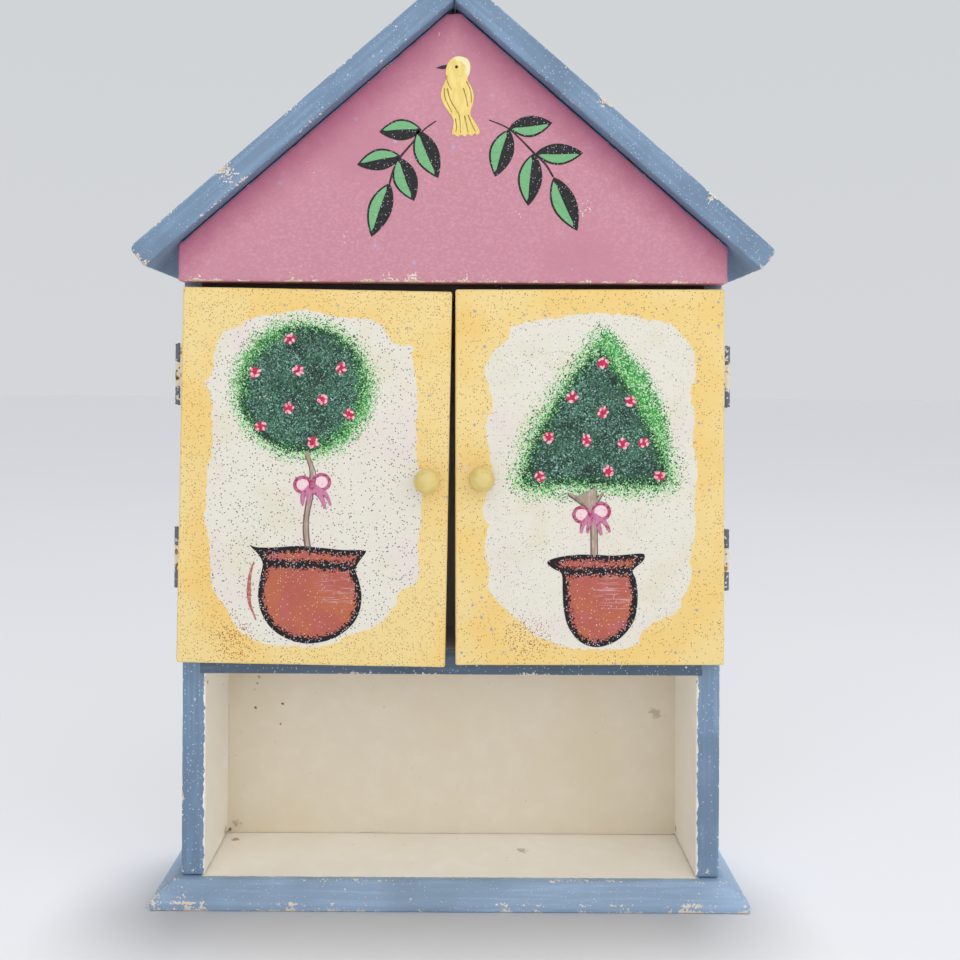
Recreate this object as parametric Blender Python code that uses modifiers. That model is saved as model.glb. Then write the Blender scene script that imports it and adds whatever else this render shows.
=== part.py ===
"""A small wooden wall cabinet shaped like a birdhouse, with two hinged doors and an open cubby.

The cabinet stands on z = 0 with its front towards -Y. Lengths are in metres. The boards are plain
closed solids with a small gap wherever two of them meet, each butt hinge is two leaves and a pin,
and each door hangs from an empty on its hinge axis.
"""

import math

import bmesh
import bpy
from mathutils import Matrix, Vector

# Overall sizes
BODY_WIDTH = 0.226  # over the two side panels
CABINET_DEPTH = 0.050  # side panel, front edge to back edge
WALL_HEIGHT = 0.2743  # floor to the underside of the roof, at a side panel's outer face
ROOF_PITCH = math.radians(41.0)

# Board thicknesses
SIDE_THICKNESS = 0.010
BASE_THICKNESS = 0.010
SHELF_THICKNESS = 0.010
DOOR_THICKNESS = 0.010
GABLE_THICKNESS = 0.010
ROOF_THICKNESS = 0.010
BACK_THICKNESS = 0.004

# Clearances
GAP = 0.0003  # between two pieces that touch on the real object
DOOR_STANDOFF = 0.0006  # door back to the cabinet's front edges
DOOR_SIDE_INSET = 0.001  # door edge inside the side panel's outer face
DOOR_CENTRE_GAP = 0.0026  # between the doors
DOOR_TOP_GAP = 0.0021  # door top to gable

# Base
BASE_OVERHANG = 0.0106  # beyond the sides and the front
BASE_FLAT = 0.0025  # level strip between the cabinet and the bevel
BASE_LIP = 0.0036  # upright edge below the bevel

# Shelves
CUBBY_HEIGHT = 0.0854  # base to middle shelf
GROOVE_DEPTH = 0.0024  # shelf ends let into the sides
CEILING_DROP = 0.0047  # ceiling board's underside below the gable
REBATE_WIDTH = 0.005  # step in a side panel that holds the back

# Gable and roof
GABLE_SHOULDER = 0.0156  # height of the gable's upright ends
GABLE_PEAK_FLAT = 0.006  # width of the blunt peak
EAVE_OVERHANG = 0.012  # lower eave corner beyond a side panel
EAVE_ROUND = 0.003  # radius on the upper eave corner
ROOF_FRONT_OVERHANG = 0.0067  # beyond the gable's face

# Doors
DOOR_OVERLAP = 0.0034  # door over the middle shelf's front edge
DOOR_EASE = 0.0006  # eased arrises
LEFT_DOOR_TILT = math.radians(0.8)  # each door sags towards the middle
RIGHT_DOOR_TILT = math.radians(0.3)

# Knobs: the left one sits a little nearer its door's edge
LEFT_KNOB_SETBACK = 0.0088
RIGHT_KNOB_SETBACK = 0.0108
KNOB_HEIGHT = 0.077  # above the door's lower edge
KNOB_RADIUS = 0.0053
KNOB_NECK_RADIUS = 0.0030
KNOB_PROJECTION = 0.0108
KNOB_FOOT_RADIUS = 0.0036
KNOB_SCREW_RADIUS = 0.0012
KNOB_SCREW_HEAD_RADIUS = 0.0026
KNOB_SCREW_HEAD_DEPTH = 0.0014
KNOB_SCREW_BITE = 0.0062  # length inside the knob
KNOB_DOME = 0.00424  # height of the rounded top
KNOB_RIM_RADIUS = 0.00488  # where the head turns under
KNOB_RIM_DROP = 0.00117  # below the dome
KNOB_NECK_DROP = 0.00265  # below the dome
KNOB_WAIST_RADIUS = 0.00285
KNOB_WAIST_SHARE = 0.35  # waist's height, as a share of the neck's

# Butt hinges
HINGE_LENGTH = 0.0254
MIDDLE_KNUCKLE = 0.010
BARREL_RADIUS = 0.0015
PIN_RADIUS = 0.00075
PIN_CLEARANCE = 0.00005  # radial, so that the hinge turns
PIN_PROUD = 0.0003  # pin beyond each end of the barrel
LEAF_THICKNESS = 0.001
LEAF_WIDTH = 0.0082  # from the pin's axis to the leaf's free edge
LEAF_GAIN = 0.0008  # door leaf let into the door's edge
LEAF_STEP = 0.0002  # steps where a knuckle stands proud of its leaf
UPPER_HINGE_DROP = 0.0359  # hinge centre below the door's top
LOWER_HINGE_RISE = 0.042  # hinge centre above the door's bottom
WEB_REACH = 0.00135  # door leaf's web, forward of the pin's axis
PIN_END_RADIUS = 0.00045  # a pin's tapered ends

# Hinge screws
HINGE_SCREW_SPREAD = 0.0155  # between a leaf's two screws
HINGE_SCREW_LENGTH = 0.0078
HINGE_SCREW_RADIUS = 0.0009
HINGE_SCREW_HEAD_RADIUS = 0.0018
HINGE_SCREW_HEAD_DEPTH = 0.0009
SLOT_WIDTH = 0.0005
SLOT_DEPTH = 0.0004

# Fasteners that hold the boards
BASE_SCREW_LENGTH = 0.026
BASE_SCREW_RADIUS = 0.0014
BASE_SCREW_HEAD_RADIUS = 0.0030
BASE_SCREW_HEAD_DEPTH = 0.0022
BASE_SCREW_SLOT = (0.0009, 0.001)  # width and depth
BASE_SCREW_ROWS = (("front", 0.25), ("back", 0.7))  # shares of the cabinet's depth
ROOF_NAIL_ROWS = (("front", 0.42), ("back", 0.78))
NAIL_RADIUS = 0.0007
NAIL_HEAD_RADIUS = 0.0012
NAIL_HEAD_DEPTH = 0.0006
NAIL_SET = 0.0006  # head below the wood's face
GABLE_BRAD_LENGTH = 0.024
ROOF_NAIL_INSET = 0.0025  # from the side panel's outer face, where the nail enters it
NAIL_COVER = 0.0017  # wood left beyond a roof nail's tip

# Facets round a turned piece
KNOB_FACETS = 32
BARREL_FACETS = 20
SCREW_FACETS = 12
NAIL_FACETS = 10
ROUND_STEPS = 5
DOME_STEPS = 6

# Gloss of each surface
BOARD_ROUGHNESS = 0.6
KNOB_ROUGHNESS = 0.45
METAL_ROUGHNESS = 0.35

# Sizes that follow
HALF_WIDTH = BODY_WIDTH / 2
INNER_HALF = HALF_WIDTH - SIDE_THICKNESS
KNOB_REACH = DOOR_STANDOFF + DOOR_THICKNESS + GAP + KNOB_PROJECTION
FRONT = (KNOB_REACH - CABINET_DEPTH) / 2  # front edge of the sides, so that y = 0 is mid-depth
BACK = FRONT + CABINET_DEPTH
DOOR_BACK = FRONT - DOOR_STANDOFF
DOOR_FACE = DOOR_BACK - DOOR_THICKNESS
GABLE_FACE = FRONT - GAP - GABLE_THICKNESS
SHELF_BACK = BACK - BACK_THICKNESS - GAP
CUBBY_TOP = BASE_THICKNESS + CUBBY_HEIGHT
SHELF_TOP = CUBBY_TOP + SHELF_THICKNESS
GABLE_FOOT = WALL_HEIGHT - GABLE_SHOULDER
CEILING_FOOT = GABLE_FOOT - CEILING_DROP
DOOR_FOOT = SHELF_TOP - DOOR_OVERLAP
DOOR_HEIGHT = GABLE_FOOT - DOOR_TOP_GAP - DOOR_FOOT
DOOR_WIDTH = HALF_WIDTH - DOOR_SIDE_INSET - DOOR_CENTRE_GAP / 2
RIDGE_UNDERSIDE = WALL_HEIGHT + HALF_WIDTH * math.tan(ROOF_PITCH)
LEAF_FACE = HALF_WIDTH + GAP  # the cabinet leaf's inner face
PIN_X = LEAF_FACE + BARREL_RADIUS
PIN_Y = FRONT - DOOR_STANDOFF / 2
ROOF_NAIL_BITE = (SIDE_THICKNESS - ROOF_NAIL_INSET - NAIL_COVER) / math.sin(ROOF_PITCH)
THROUGH = 0.02  # how far a cutter runs past the face it opens


# ---------------------------------------------------------------- scene and materials


def clear_scene():
    """Remove every object of the scene."""
    for obj in list(bpy.data.objects):
        bpy.data.objects.remove(obj, do_unlink=True)


def new_collection(name):
    """Return a new collection linked to the scene."""
    collection = bpy.data.collections.new(name)
    bpy.context.scene.collection.children.link(collection)
    return collection


def new_material(name, colour, roughness, metallic=0.0):
    """Return a Principled material of one colour."""
    material = bpy.data.materials.new(name)
    material.use_nodes = True
    shader = material.node_tree.nodes["Principled BSDF"]
    shader.inputs["Base Color"].default_value = (*colour, 1.0)
    shader.inputs["Roughness"].default_value = roughness
    shader.inputs["Metallic"].default_value = metallic
    material.diffuse_color = (*colour, 1.0)
    return material


clear_scene()
PARTS = new_collection("birdhouse_cabinet")
CUTTERS = new_collection("cutters")
BLUE_PAINT = (0.18, 0.27, 0.42)
PINK_PAINT = (0.60, 0.28, 0.34)
YELLOW_PAINT = (0.84, 0.62, 0.24)
CREAM_PAINT = (0.66, 0.56, 0.42)
BRASS = (0.62, 0.44, 0.20)
STEEL = (0.45, 0.45, 0.46)


# ---------------------------------------------------------------- shapes


def add_object(name, mesh, collection, material=None):
    """Link a mesh to a collection as a new object and give it its material."""
    obj = bpy.data.objects.new(name, mesh)
    collection.objects.link(obj)
    if material:
        mesh.materials.append(material)
    if collection is CUTTERS:
        obj.hide_render = True
        obj.display_type = "WIRE"
    return obj


def box(name, low, high, collection=None, material=None):
    """Return a box between two opposite corners."""
    low, high = Vector(low), Vector(high)
    shape = bmesh.new()
    place = Matrix.Translation((low + high) / 2) @ Matrix.Diagonal((*(high - low), 1.0))
    bmesh.ops.create_cube(shape, size=1.0, matrix=place)
    mesh = bpy.data.meshes.new(name)
    shape.to_mesh(mesh)
    shape.free()
    return add_object(name, mesh, collection or PARTS, material)


def outline_board(name, outline, front, back, material):
    """Return a board whose outline lies in the XZ plane, from y = front to y = back."""
    curve = bpy.data.curves.new(name, "CURVE")
    curve.dimensions = "2D"
    curve.fill_mode = "BOTH"
    curve.extrude = (back - front) / 2
    spline = curve.splines.new("POLY")
    spline.points.add(len(outline) - 1)
    for point, (x, z) in zip(spline.points, outline):
        point.co = (x, z, 0.0, 1.0)
    spline.use_cyclic_u = True
    drawn = bpy.data.objects.new(name + "_outline", curve)
    PARTS.objects.link(drawn)
    upright = Matrix.Rotation(math.pi / 2, 4, "X")
    place = Matrix.Translation((0.0, (front + back) / 2, 0.0)) @ upright
    graph = bpy.context.evaluated_depsgraph_get()
    mesh = bpy.data.meshes.new_from_object(drawn.evaluated_get(graph))
    bpy.data.objects.remove(drawn, do_unlink=True)
    bpy.data.curves.remove(curve)
    shape = bmesh.new()
    shape.from_mesh(mesh)
    bmesh.ops.remove_doubles(shape, verts=shape.verts, dist=1e-6)
    bmesh.ops.transform(shape, matrix=place, verts=shape.verts)
    bmesh.ops.recalc_face_normals(shape, faces=shape.faces)
    shape.to_mesh(mesh)
    shape.free()
    mesh.name = name
    mesh.materials.clear()
    return add_object(name, mesh, PARTS, material)


def turned(name, profile, facets, collection=None, material=None):
    """Return a solid turned about Z from (radius, height) points, listed from top to bottom."""
    mesh = bpy.data.meshes.new(name)
    shape = bmesh.new()
    points = [shape.verts.new((radius, 0.0, height)) for radius, height in profile]
    for upper, lower in zip(points, points[1:]):
        shape.edges.new((upper, lower))
    shape.to_mesh(mesh)
    shape.free()
    obj = add_object(name, mesh, collection or PARTS, material)
    turn = obj.modifiers.new("Turn", "SCREW")
    turn.axis = "Z"
    turn.steps = facets
    turn.render_steps = facets
    turn.use_merge_vertices = True
    turn.merge_threshold = 0.00001
    turn.use_smooth_shade = True
    return obj


def ease_edges(obj, width):
    """Take the sharp arrises off a board."""
    bevel = obj.modifiers.new("Ease", "BEVEL")
    bevel.width = width
    bevel.segments = 1
    bevel.limit_method = "ANGLE"


def cut(obj, cutter):
    """Subtract a cutter from an object."""
    difference = obj.modifiers.new("Cut " + cutter.name, "BOOLEAN")
    difference.operation = "DIFFERENCE"
    difference.solver = "EXACT"
    difference.object = cutter


def join(obj, other):
    """Fuse a helper shape into an object."""
    union = obj.modifiers.new("Join " + other.name, "BOOLEAN")
    union.operation = "UNION"
    union.solver = "EXACT"
    union.object = other


def put(obj, place, parent=None):
    """Place an object by a matrix, under a parent if one is given."""
    obj.matrix_basis = place
    if parent:
        obj.parent = parent
    return obj


def pointing(direction, at):
    """Return the placement that turns local +Z to a direction and moves the origin to a point."""
    turn = Vector(direction).to_track_quat("Z", "Y").to_matrix().to_4x4()
    return Matrix.Translation(at) @ turn


# ---------------------------------------------------------------- fasteners


def screw_profile(radius, length, head_radius, head_depth, extra=0.0):
    """Return a countersunk screw's profile, its head at height 0; extra widens it for its hole."""
    flare = extra * math.tan(math.pi / 8)
    return [
        (0.0, extra),
        (head_radius + extra, extra),
        (head_radius + extra, -flare),
        (radius + extra, -head_depth - flare),
        (radius + extra, -length + radius),
        (0.0, -length - extra),
    ]


def nail_profile(length, extra=0.0, mouth=0.0):
    """Return a nail's profile, its head at height 0; the hole adds extra and opens upwards by mouth."""
    return [
        (0.0, mouth),
        (NAIL_HEAD_RADIUS + extra, mouth),
        (NAIL_HEAD_RADIUS + extra, -NAIL_HEAD_DEPTH - extra),
        (NAIL_RADIUS + extra, -NAIL_HEAD_DEPTH - extra),
        (NAIL_RADIUS + extra, -length + NAIL_RADIUS),
        (0.0, -length - extra),
    ]


def drive_screw(name, place, sizes, boards, slot=(SLOT_WIDTH, SLOT_DEPTH), parent=None):
    """Make one slotted screw with its head at a placement, and cut its hole in each board."""
    radius, length, head_radius, head_depth = sizes
    steel = new_material(name + "_steel", STEEL, METAL_ROUGHNESS, 1.0)
    profile = screw_profile(radius, length, head_radius, head_depth)
    screw = turned(name, profile, SCREW_FACETS, material=steel)
    put(screw, place, parent)
    slot_width, slot_depth = slot
    low = (-THROUGH, -slot_width / 2, -slot_depth)
    slot_cutter = box(name + "_slot", low, (THROUGH, slot_width / 2, THROUGH), CUTTERS)
    put(slot_cutter, place, parent)
    cut(screw, slot_cutter)
    hole_profile = screw_profile(radius, length, head_radius, head_depth, GAP)
    hole = turned(name + "_hole", hole_profile, SCREW_FACETS, CUTTERS)
    put(hole, place, parent)
    for board in boards:
        cut(board, hole)
    return screw


def drive_nail(name, place, length, boards):
    """Make one nail with its head at a placement, and cut its hole in each board."""
    steel = new_material(name + "_steel", STEEL, METAL_ROUGHNESS, 1.0)
    nail = put(turned(name, nail_profile(length), NAIL_FACETS, material=steel), place)
    hole_profile = nail_profile(length, GAP, NAIL_SET + GAP)
    hole = put(turned(name + "_hole", hole_profile, NAIL_FACETS, CUTTERS), place)
    for board in boards:
        cut(board, hole)
    return nail


# ---------------------------------------------------------------- cabinet


def roof_underside(x):
    """Return the height of the roof's underside at a distance x from the middle."""
    return RIDGE_UNDERSIDE - abs(x) * math.tan(ROOF_PITCH)


def below_roof(x):
    """Return the height that leaves the usual gap below the roof."""
    return roof_underside(x) - GAP / math.cos(ROOF_PITCH)


def house_outline(half_width, foot, peak_flat):
    """Return a house-shaped outline that fits below the roof, anticlockwise from its lower left."""
    return [
        (-half_width, foot),
        (half_width, foot),
        (half_width, below_roof(half_width)),
        (peak_flat / 2, below_roof(peak_flat / 2)),
        (-peak_flat / 2, below_roof(peak_flat / 2)),
        (-half_width, below_roof(half_width)),
    ]


def make_side(side, label):
    """Make one side panel: bevelled under the roof, grooved for the shelves, rebated at the back."""
    foot = BASE_THICKNESS + GAP
    outline = [
        (side * INNER_HALF, foot),
        (side * HALF_WIDTH, foot),
        (side * HALF_WIDTH, below_roof(HALF_WIDTH)),
        (side * INNER_HALF, below_roof(INNER_HALF)),
    ]
    name = f"side_panel_{label}"
    paint = new_material(name + "_paint", BLUE_PAINT, BOARD_ROUGHNESS)
    panel = outline_board(name, outline, FRONT, BACK, paint)
    for shelf_foot in (CUBBY_TOP, CEILING_FOOT):
        ends = sorted((side * (INNER_HALF - THROUGH), side * (INNER_HALF + GROOVE_DEPTH)))
        low = (ends[0], FRONT - THROUGH, shelf_foot - GAP)
        high = (ends[1], BACK + THROUGH, shelf_foot + SHELF_THICKNESS + GAP)
        cut(panel, box(f"{name}_groove", low, high, CUTTERS))
    ends = sorted((side * (INNER_HALF - THROUGH), side * (INNER_HALF + REBATE_WIDTH)))
    low = (ends[0], SHELF_BACK, -THROUGH)
    high = (ends[1], BACK + THROUGH, RIDGE_UNDERSIDE)
    cut(panel, box(f"{name}_rebate", low, high, CUTTERS))
    return panel


def make_base():
    """Make the base board, with its bevel along the front and both ends."""
    half = HALF_WIDTH + BASE_OVERHANG
    front = FRONT - BASE_OVERHANG
    paint = new_material("base_board_paint", BLUE_PAINT, BOARD_ROUGHNESS)
    base = box("base_board", (-half, front, 0.0), (half, BACK, BASE_THICKNESS), None, paint)
    shape = bmesh.new()
    shape.from_mesh(base.data)
    slope = Vector((0.0, BASE_THICKNESS - BASE_LIP, BASE_OVERHANG - BASE_FLAT)).normalized()
    lips = (
        (Vector((0.0, front, BASE_LIP)), Vector((0.0, -slope.y, slope.z))),
        (Vector((half, 0.0, BASE_LIP)), Vector((slope.y, 0.0, slope.z))),
        (Vector((-half, 0.0, BASE_LIP)), Vector((-slope.y, 0.0, slope.z))),
    )
    for point, normal in lips:
        bmesh.ops.bisect_plane(
            shape,
            geom=shape.verts[:] + shape.edges[:] + shape.faces[:],
            plane_co=point,
            plane_no=normal,
            clear_outer=True,
        )
        bmesh.ops.holes_fill(shape, edges=[edge for edge in shape.edges if edge.is_boundary])
    bmesh.ops.recalc_face_normals(shape, faces=shape.faces)
    shape.to_mesh(base.data)
    shape.free()
    return base


def make_shelf(name, foot):
    """Make a shelf whose ends sit in the sides' grooves."""
    paint = new_material(name + "_paint", CREAM_PAINT, BOARD_ROUGHNESS)
    half = INNER_HALF + GROOVE_DEPTH - GAP
    return box(
        name,
        (-half, FRONT, foot),
        (half, SHELF_BACK - GAP, foot + SHELF_THICKNESS),
        None,
        paint,
    )


def make_back():
    """Make the thin back, in the sides' rebates and under the roof."""
    half = INNER_HALF + REBATE_WIDTH - GAP
    outline = house_outline(half, BASE_THICKNESS + GAP, GABLE_PEAK_FLAT)
    paint = new_material("back_panel_paint", CREAM_PAINT, BOARD_ROUGHNESS)
    return outline_board("back_panel", outline, BACK - BACK_THICKNESS, BACK, paint)


def make_gable():
    """Make the gable panel above the doors."""
    outline = house_outline(HALF_WIDTH, GABLE_FOOT, GABLE_PEAK_FLAT)
    paint = new_material("gable_front_paint", PINK_PAINT, BOARD_ROUGHNESS)
    return outline_board("gable_front", outline, GABLE_FACE, FRONT - GAP, paint)


def make_roof_board(side, label):
    """Make one roof board: mitred at the ridge, cut square at the eave, its upper corner rounded."""
    out = Vector((math.cos(ROOF_PITCH), -math.sin(ROOF_PITCH)))
    up = Vector((math.sin(ROOF_PITCH), math.cos(ROOF_PITCH)))
    mitre = GAP / 2
    eave = Vector((HALF_WIDTH + EAVE_OVERHANG, roof_underside(HALF_WIDTH + EAVE_OVERHANG)))
    centre = eave + up * (ROOF_THICKNESS - EAVE_ROUND) - out * EAVE_ROUND
    points = [Vector((mitre, roof_underside(mitre))), eave]
    for step in range(ROUND_STEPS + 1):
        turn = math.pi / 2 * step / ROUND_STEPS
        points.append(centre + (out * math.cos(turn) + up * math.sin(turn)) * EAVE_ROUND)
    points.append(points[0] + Vector((0.0, ROOF_THICKNESS / math.cos(ROOF_PITCH))))
    name = f"roof_board_{label}"
    paint = new_material(name + "_paint", BLUE_PAINT, BOARD_ROUGHNESS)
    outline = [(side * point.x, point.y) for point in points]
    return outline_board(name, outline, GABLE_FACE - ROOF_FRONT_OVERHANG, BACK, paint)


# ---------------------------------------------------------------- doors


def make_door(side, label, tilt):
    """Make a door, hung from an empty on its hinge axis, and the sagging frame it sits in."""
    hang = bpy.data.objects.new(f"{label}_door_hinge_axis", None)
    hang.location = (side * PIN_X, PIN_Y, DOOR_FOOT + DOOR_HEIGHT / 2)
    PARTS.objects.link(hang)
    sag = bpy.data.objects.new(f"{label}_door_sag", None)
    sag.parent = hang
    outer = HALF_WIDTH - DOOR_SIDE_INSET
    sag.location = (side * (outer - PIN_X), DOOR_BACK - PIN_Y, 0.0)
    sag.rotation_euler = (0.0, -side * tilt, 0.0)
    PARTS.objects.link(sag)
    inward = sorted((0.0, -side * DOOR_WIDTH))
    name = f"door_{label}"
    paint = new_material(name + "_paint", YELLOW_PAINT, BOARD_ROUGHNESS)
    low = (inward[0], -DOOR_THICKNESS, -DOOR_HEIGHT / 2)
    high = (inward[1], 0.0, DOOR_HEIGHT / 2)
    door = box(name, low, high, None, paint)
    door.parent = sag
    ease_edges(door, DOOR_EASE)
    return door, hang, sag


def make_knob(side, label, setback, door, sag):
    """Make a mushroom knob on the door and the screw that holds it from behind."""
    height = KNOB_HEIGHT - DOOR_HEIGHT / 2
    across = -side * (DOOR_WIDTH - setback)
    place = pointing((0.0, -1.0, 0.0), (across, -DOOR_THICKNESS - GAP, height))
    dome = [
        (
            KNOB_RADIUS * math.sin(turn),
            KNOB_PROJECTION - KNOB_DOME * (1 - math.cos(turn)),
        )
        for turn in (math.pi / 2 * step / DOME_STEPS for step in range(DOME_STEPS + 1))
    ]
    rim = KNOB_PROJECTION - KNOB_DOME
    under = [
        (KNOB_RIM_RADIUS, rim - KNOB_RIM_DROP),
        (KNOB_NECK_RADIUS, rim - KNOB_NECK_DROP),
        (KNOB_WAIST_RADIUS, rim * KNOB_WAIST_SHARE),
        (KNOB_FOOT_RADIUS, 0.0),
        (0.0, 0.0),
    ]
    name = f"knob_{label}"
    paint = new_material(name + "_paint", YELLOW_PAINT, KNOB_ROUGHNESS)
    knob = put(turned(name, dome + under, KNOB_FACETS, material=paint), place, sag)
    length = DOOR_THICKNESS + GAP + KNOB_SCREW_BITE
    from_behind = pointing((0.0, 1.0, 0.0), (across, 0.0, height))
    sizes = (KNOB_SCREW_RADIUS, length, KNOB_SCREW_HEAD_RADIUS, KNOB_SCREW_HEAD_DEPTH)
    drive_screw(f"knob_screw_{label}", from_behind, sizes, [door, knob], parent=sag)
    return knob


# ---------------------------------------------------------------- hinges


def barrel_piece(name, low, high, place):
    """Return one knuckle as a helper cylinder on the pin's axis, a facet facing the cabinet."""
    profile = [(0.0, high), (BARREL_RADIUS, high), (BARREL_RADIUS, low), (0.0, low)]
    half_facet = Matrix.Rotation(math.pi / BARREL_FACETS, 4, "Z")
    return put(turned(name, profile, BARREL_FACETS, CUTTERS), place @ half_facet)


def pin_bore(name, place):
    """Return the cutter for the hole through a hinge's knuckles."""
    radius = PIN_RADIUS + PIN_CLEARANCE
    profile = [(0.0, THROUGH), (radius, THROUGH), (radius, -THROUGH), (0.0, -THROUGH)]
    return put(turned(name, profile, BARREL_FACETS, CUTTERS), place)


def make_hinge(side, name, height, panel, door, hang):
    """Make one butt hinge with its screws: a cabinet leaf, a door leaf and a pin."""
    place = Matrix.Translation((side * PIN_X, PIN_Y, height))
    half = HINGE_LENGTH / 2
    middle = MIDDLE_KNUCKLE / 2
    relief = BARREL_RADIUS + GAP
    bore = pin_bore(name + "_bore", place)

    brass = new_material(name + "_cabinet_leaf_brass", BRASS, METAL_ROUGHNESS, 1.0)
    plate = sorted((side * LEAF_FACE, side * (LEAF_FACE + LEAF_THICKNESS)))
    leaf_half = half - LEAF_STEP
    low = (plate[0], PIN_Y, height - leaf_half)
    high = (plate[1], PIN_Y + LEAF_WIDTH, height + leaf_half)
    cabinet_leaf = box(f"{name}_cabinet_leaf", low, high, None, brass)
    notch_x = sorted((side * (LEAF_FACE - THROUGH), side * (PIN_X + THROUGH)))
    notch_half = middle + GAP + LEAF_STEP
    low = (notch_x[0], PIN_Y - THROUGH, height - notch_half)
    high = (notch_x[1], PIN_Y + relief, height + notch_half)
    cut(cabinet_leaf, box(name + "_notch", low, high, CUTTERS))
    join(cabinet_leaf, barrel_piece(name + "_top_knuckle", middle + GAP, half, place))
    join(cabinet_leaf, barrel_piece(name + "_low_knuckle", -half, -middle - GAP, place))
    cut(cabinet_leaf, bore)

    brass = new_material(name + "_door_leaf_brass", BRASS, METAL_ROUGHNESS, 1.0)
    inner = HALF_WIDTH - DOOR_SIDE_INSET - LEAF_GAIN
    plate = sorted((side * inner, side * (inner + LEAF_THICKNESS)))
    leaf_back = DOOR_BACK - GAP
    low = (plate[0], PIN_Y - LEAF_WIDTH, height - leaf_half)
    high = (plate[1], leaf_back, height + leaf_half)
    door_leaf = box(f"{name}_door_leaf", low, high, None, brass)
    web_x = sorted((side * (inner + LEAF_STEP), side * PIN_X))
    web_half = middle - LEAF_STEP
    low = (web_x[0], PIN_Y - WEB_REACH, height - web_half)
    high = (web_x[1], leaf_back - LEAF_STEP, height + web_half)
    join(door_leaf, box(name + "_web", low, high, CUTTERS))
    join(door_leaf, barrel_piece(name + "_mid_knuckle", -middle, middle, place))
    cut(door_leaf, bore)
    put(door_leaf, hang.matrix_world.inverted(), hang)

    gain_x = sorted((side * (inner - GAP), side * (inner + THROUGH)))
    low = (gain_x[0], PIN_Y - LEAF_WIDTH - GAP, height - half - GAP)
    high = (gain_x[1], PIN_Y + THROUGH, height + half + GAP)
    cut(door, box(name + "_gain", low, high, CUTTERS))

    steel = new_material(name + "_pin_steel", STEEL, METAL_ROUGHNESS, 1.0)
    reach = half + PIN_PROUD
    profile = [(0.0, reach), (PIN_END_RADIUS, reach), (PIN_RADIUS, half), (PIN_RADIUS, -half)]
    profile += [(PIN_END_RADIUS, -reach), (0.0, -reach)]
    put(turned(name + "_pin", profile, BARREL_FACETS, material=steel), place)

    sizes = (
        HINGE_SCREW_RADIUS,
        HINGE_SCREW_LENGTH,
        HINGE_SCREW_HEAD_RADIUS,
        HINGE_SCREW_HEAD_DEPTH,
    )
    reach = (BARREL_RADIUS + LEAF_WIDTH) / 2
    for row, rise in (("upper", HINGE_SCREW_SPREAD / 2), ("lower", -HINGE_SCREW_SPREAD / 2)):
        at = (side * (LEAF_FACE + LEAF_THICKNESS), PIN_Y + reach, height + rise)
        outward = pointing((side, 0.0, 0.0), at)
        drive_screw(f"{name}_cabinet_screw_{row}", outward, sizes, [cabinet_leaf, panel])
        at = (side * (inner + LEAF_THICKNESS), PIN_Y - reach, height + rise)
        outward = hang.matrix_world.inverted() @ pointing((side, 0.0, 0.0), at)
        drive_screw(f"{name}_door_screw_{row}", outward, sizes, [door_leaf, door], parent=hang)


# ---------------------------------------------------------------- assembly


def fasten_boards(sides, base, gable, roofs):
    """Drive the screws, brads and nails that hold the carcass together."""
    inset = SIDE_THICKNESS / 2
    sizes = (
        BASE_SCREW_RADIUS,
        BASE_SCREW_LENGTH,
        BASE_SCREW_HEAD_RADIUS,
        BASE_SCREW_HEAD_DEPTH,
    )
    for side, label in ((-1, "left"), (1, "right")):
        panel = sides[label]
        x = side * (HALF_WIDTH - inset)
        for row, share in BASE_SCREW_ROWS:
            at = (x, FRONT + CABINET_DEPTH * share, GAP)
            place = pointing((0.0, 0.0, -1.0), at)
            name = f"base_screw_{label}_{row}"
            drive_screw(name, place, sizes, [base, panel], BASE_SCREW_SLOT)
        at = (x, GABLE_FACE + NAIL_SET, GABLE_FOOT + GABLE_SHOULDER / 2)
        place = pointing((0.0, -1.0, 0.0), at)
        drive_nail(f"gable_brad_{label}", place, GABLE_BRAD_LENGTH, [gable, panel])
        up = Vector((side * math.sin(ROOF_PITCH), 0.0, math.cos(ROOF_PITCH)))
        entry = HALF_WIDTH - ROOF_NAIL_INSET
        for row, share in ROOF_NAIL_ROWS:
            seat = Vector((side * entry, FRONT + CABINET_DEPTH * share, roof_underside(entry)))
            place = pointing(up, seat + up * (ROOF_THICKNESS - NAIL_SET))
            length = ROOF_THICKNESS - NAIL_SET + ROOF_NAIL_BITE
            drive_nail(f"roof_nail_{label}_{row}", place, length, [roofs[label], panel])


def build():
    """Build the whole cabinet."""
    sides = {"left": make_side(-1, "left"), "right": make_side(1, "right")}
    base = make_base()
    make_shelf("middle_shelf", CUBBY_TOP)
    make_shelf("ceiling_board", CEILING_FOOT)
    make_back()
    gable = make_gable()
    roofs = {"left": make_roof_board(-1, "left"), "right": make_roof_board(1, "right")}
    fasten_boards(sides, base, gable, roofs)
    heights = (
        ("upper", DOOR_FOOT + DOOR_HEIGHT - UPPER_HINGE_DROP),
        ("lower", DOOR_FOOT + LOWER_HINGE_RISE),
    )
    leaves = ((-1, "left", LEFT_DOOR_TILT, LEFT_KNOB_SETBACK),)
    leaves += ((1, "right", RIGHT_DOOR_TILT, RIGHT_KNOB_SETBACK),)
    for side, label, tilt, setback in leaves:
        door, hang, sag = make_door(side, label, tilt)
        bpy.context.view_layer.update()
        make_knob(side, label, setback, door, sag)
        for row, height in heights:
            make_hinge(side, f"hinge_{label}_{row}", height, sides[label], door, hang)
    bpy.context.view_layer.update()


build()
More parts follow.
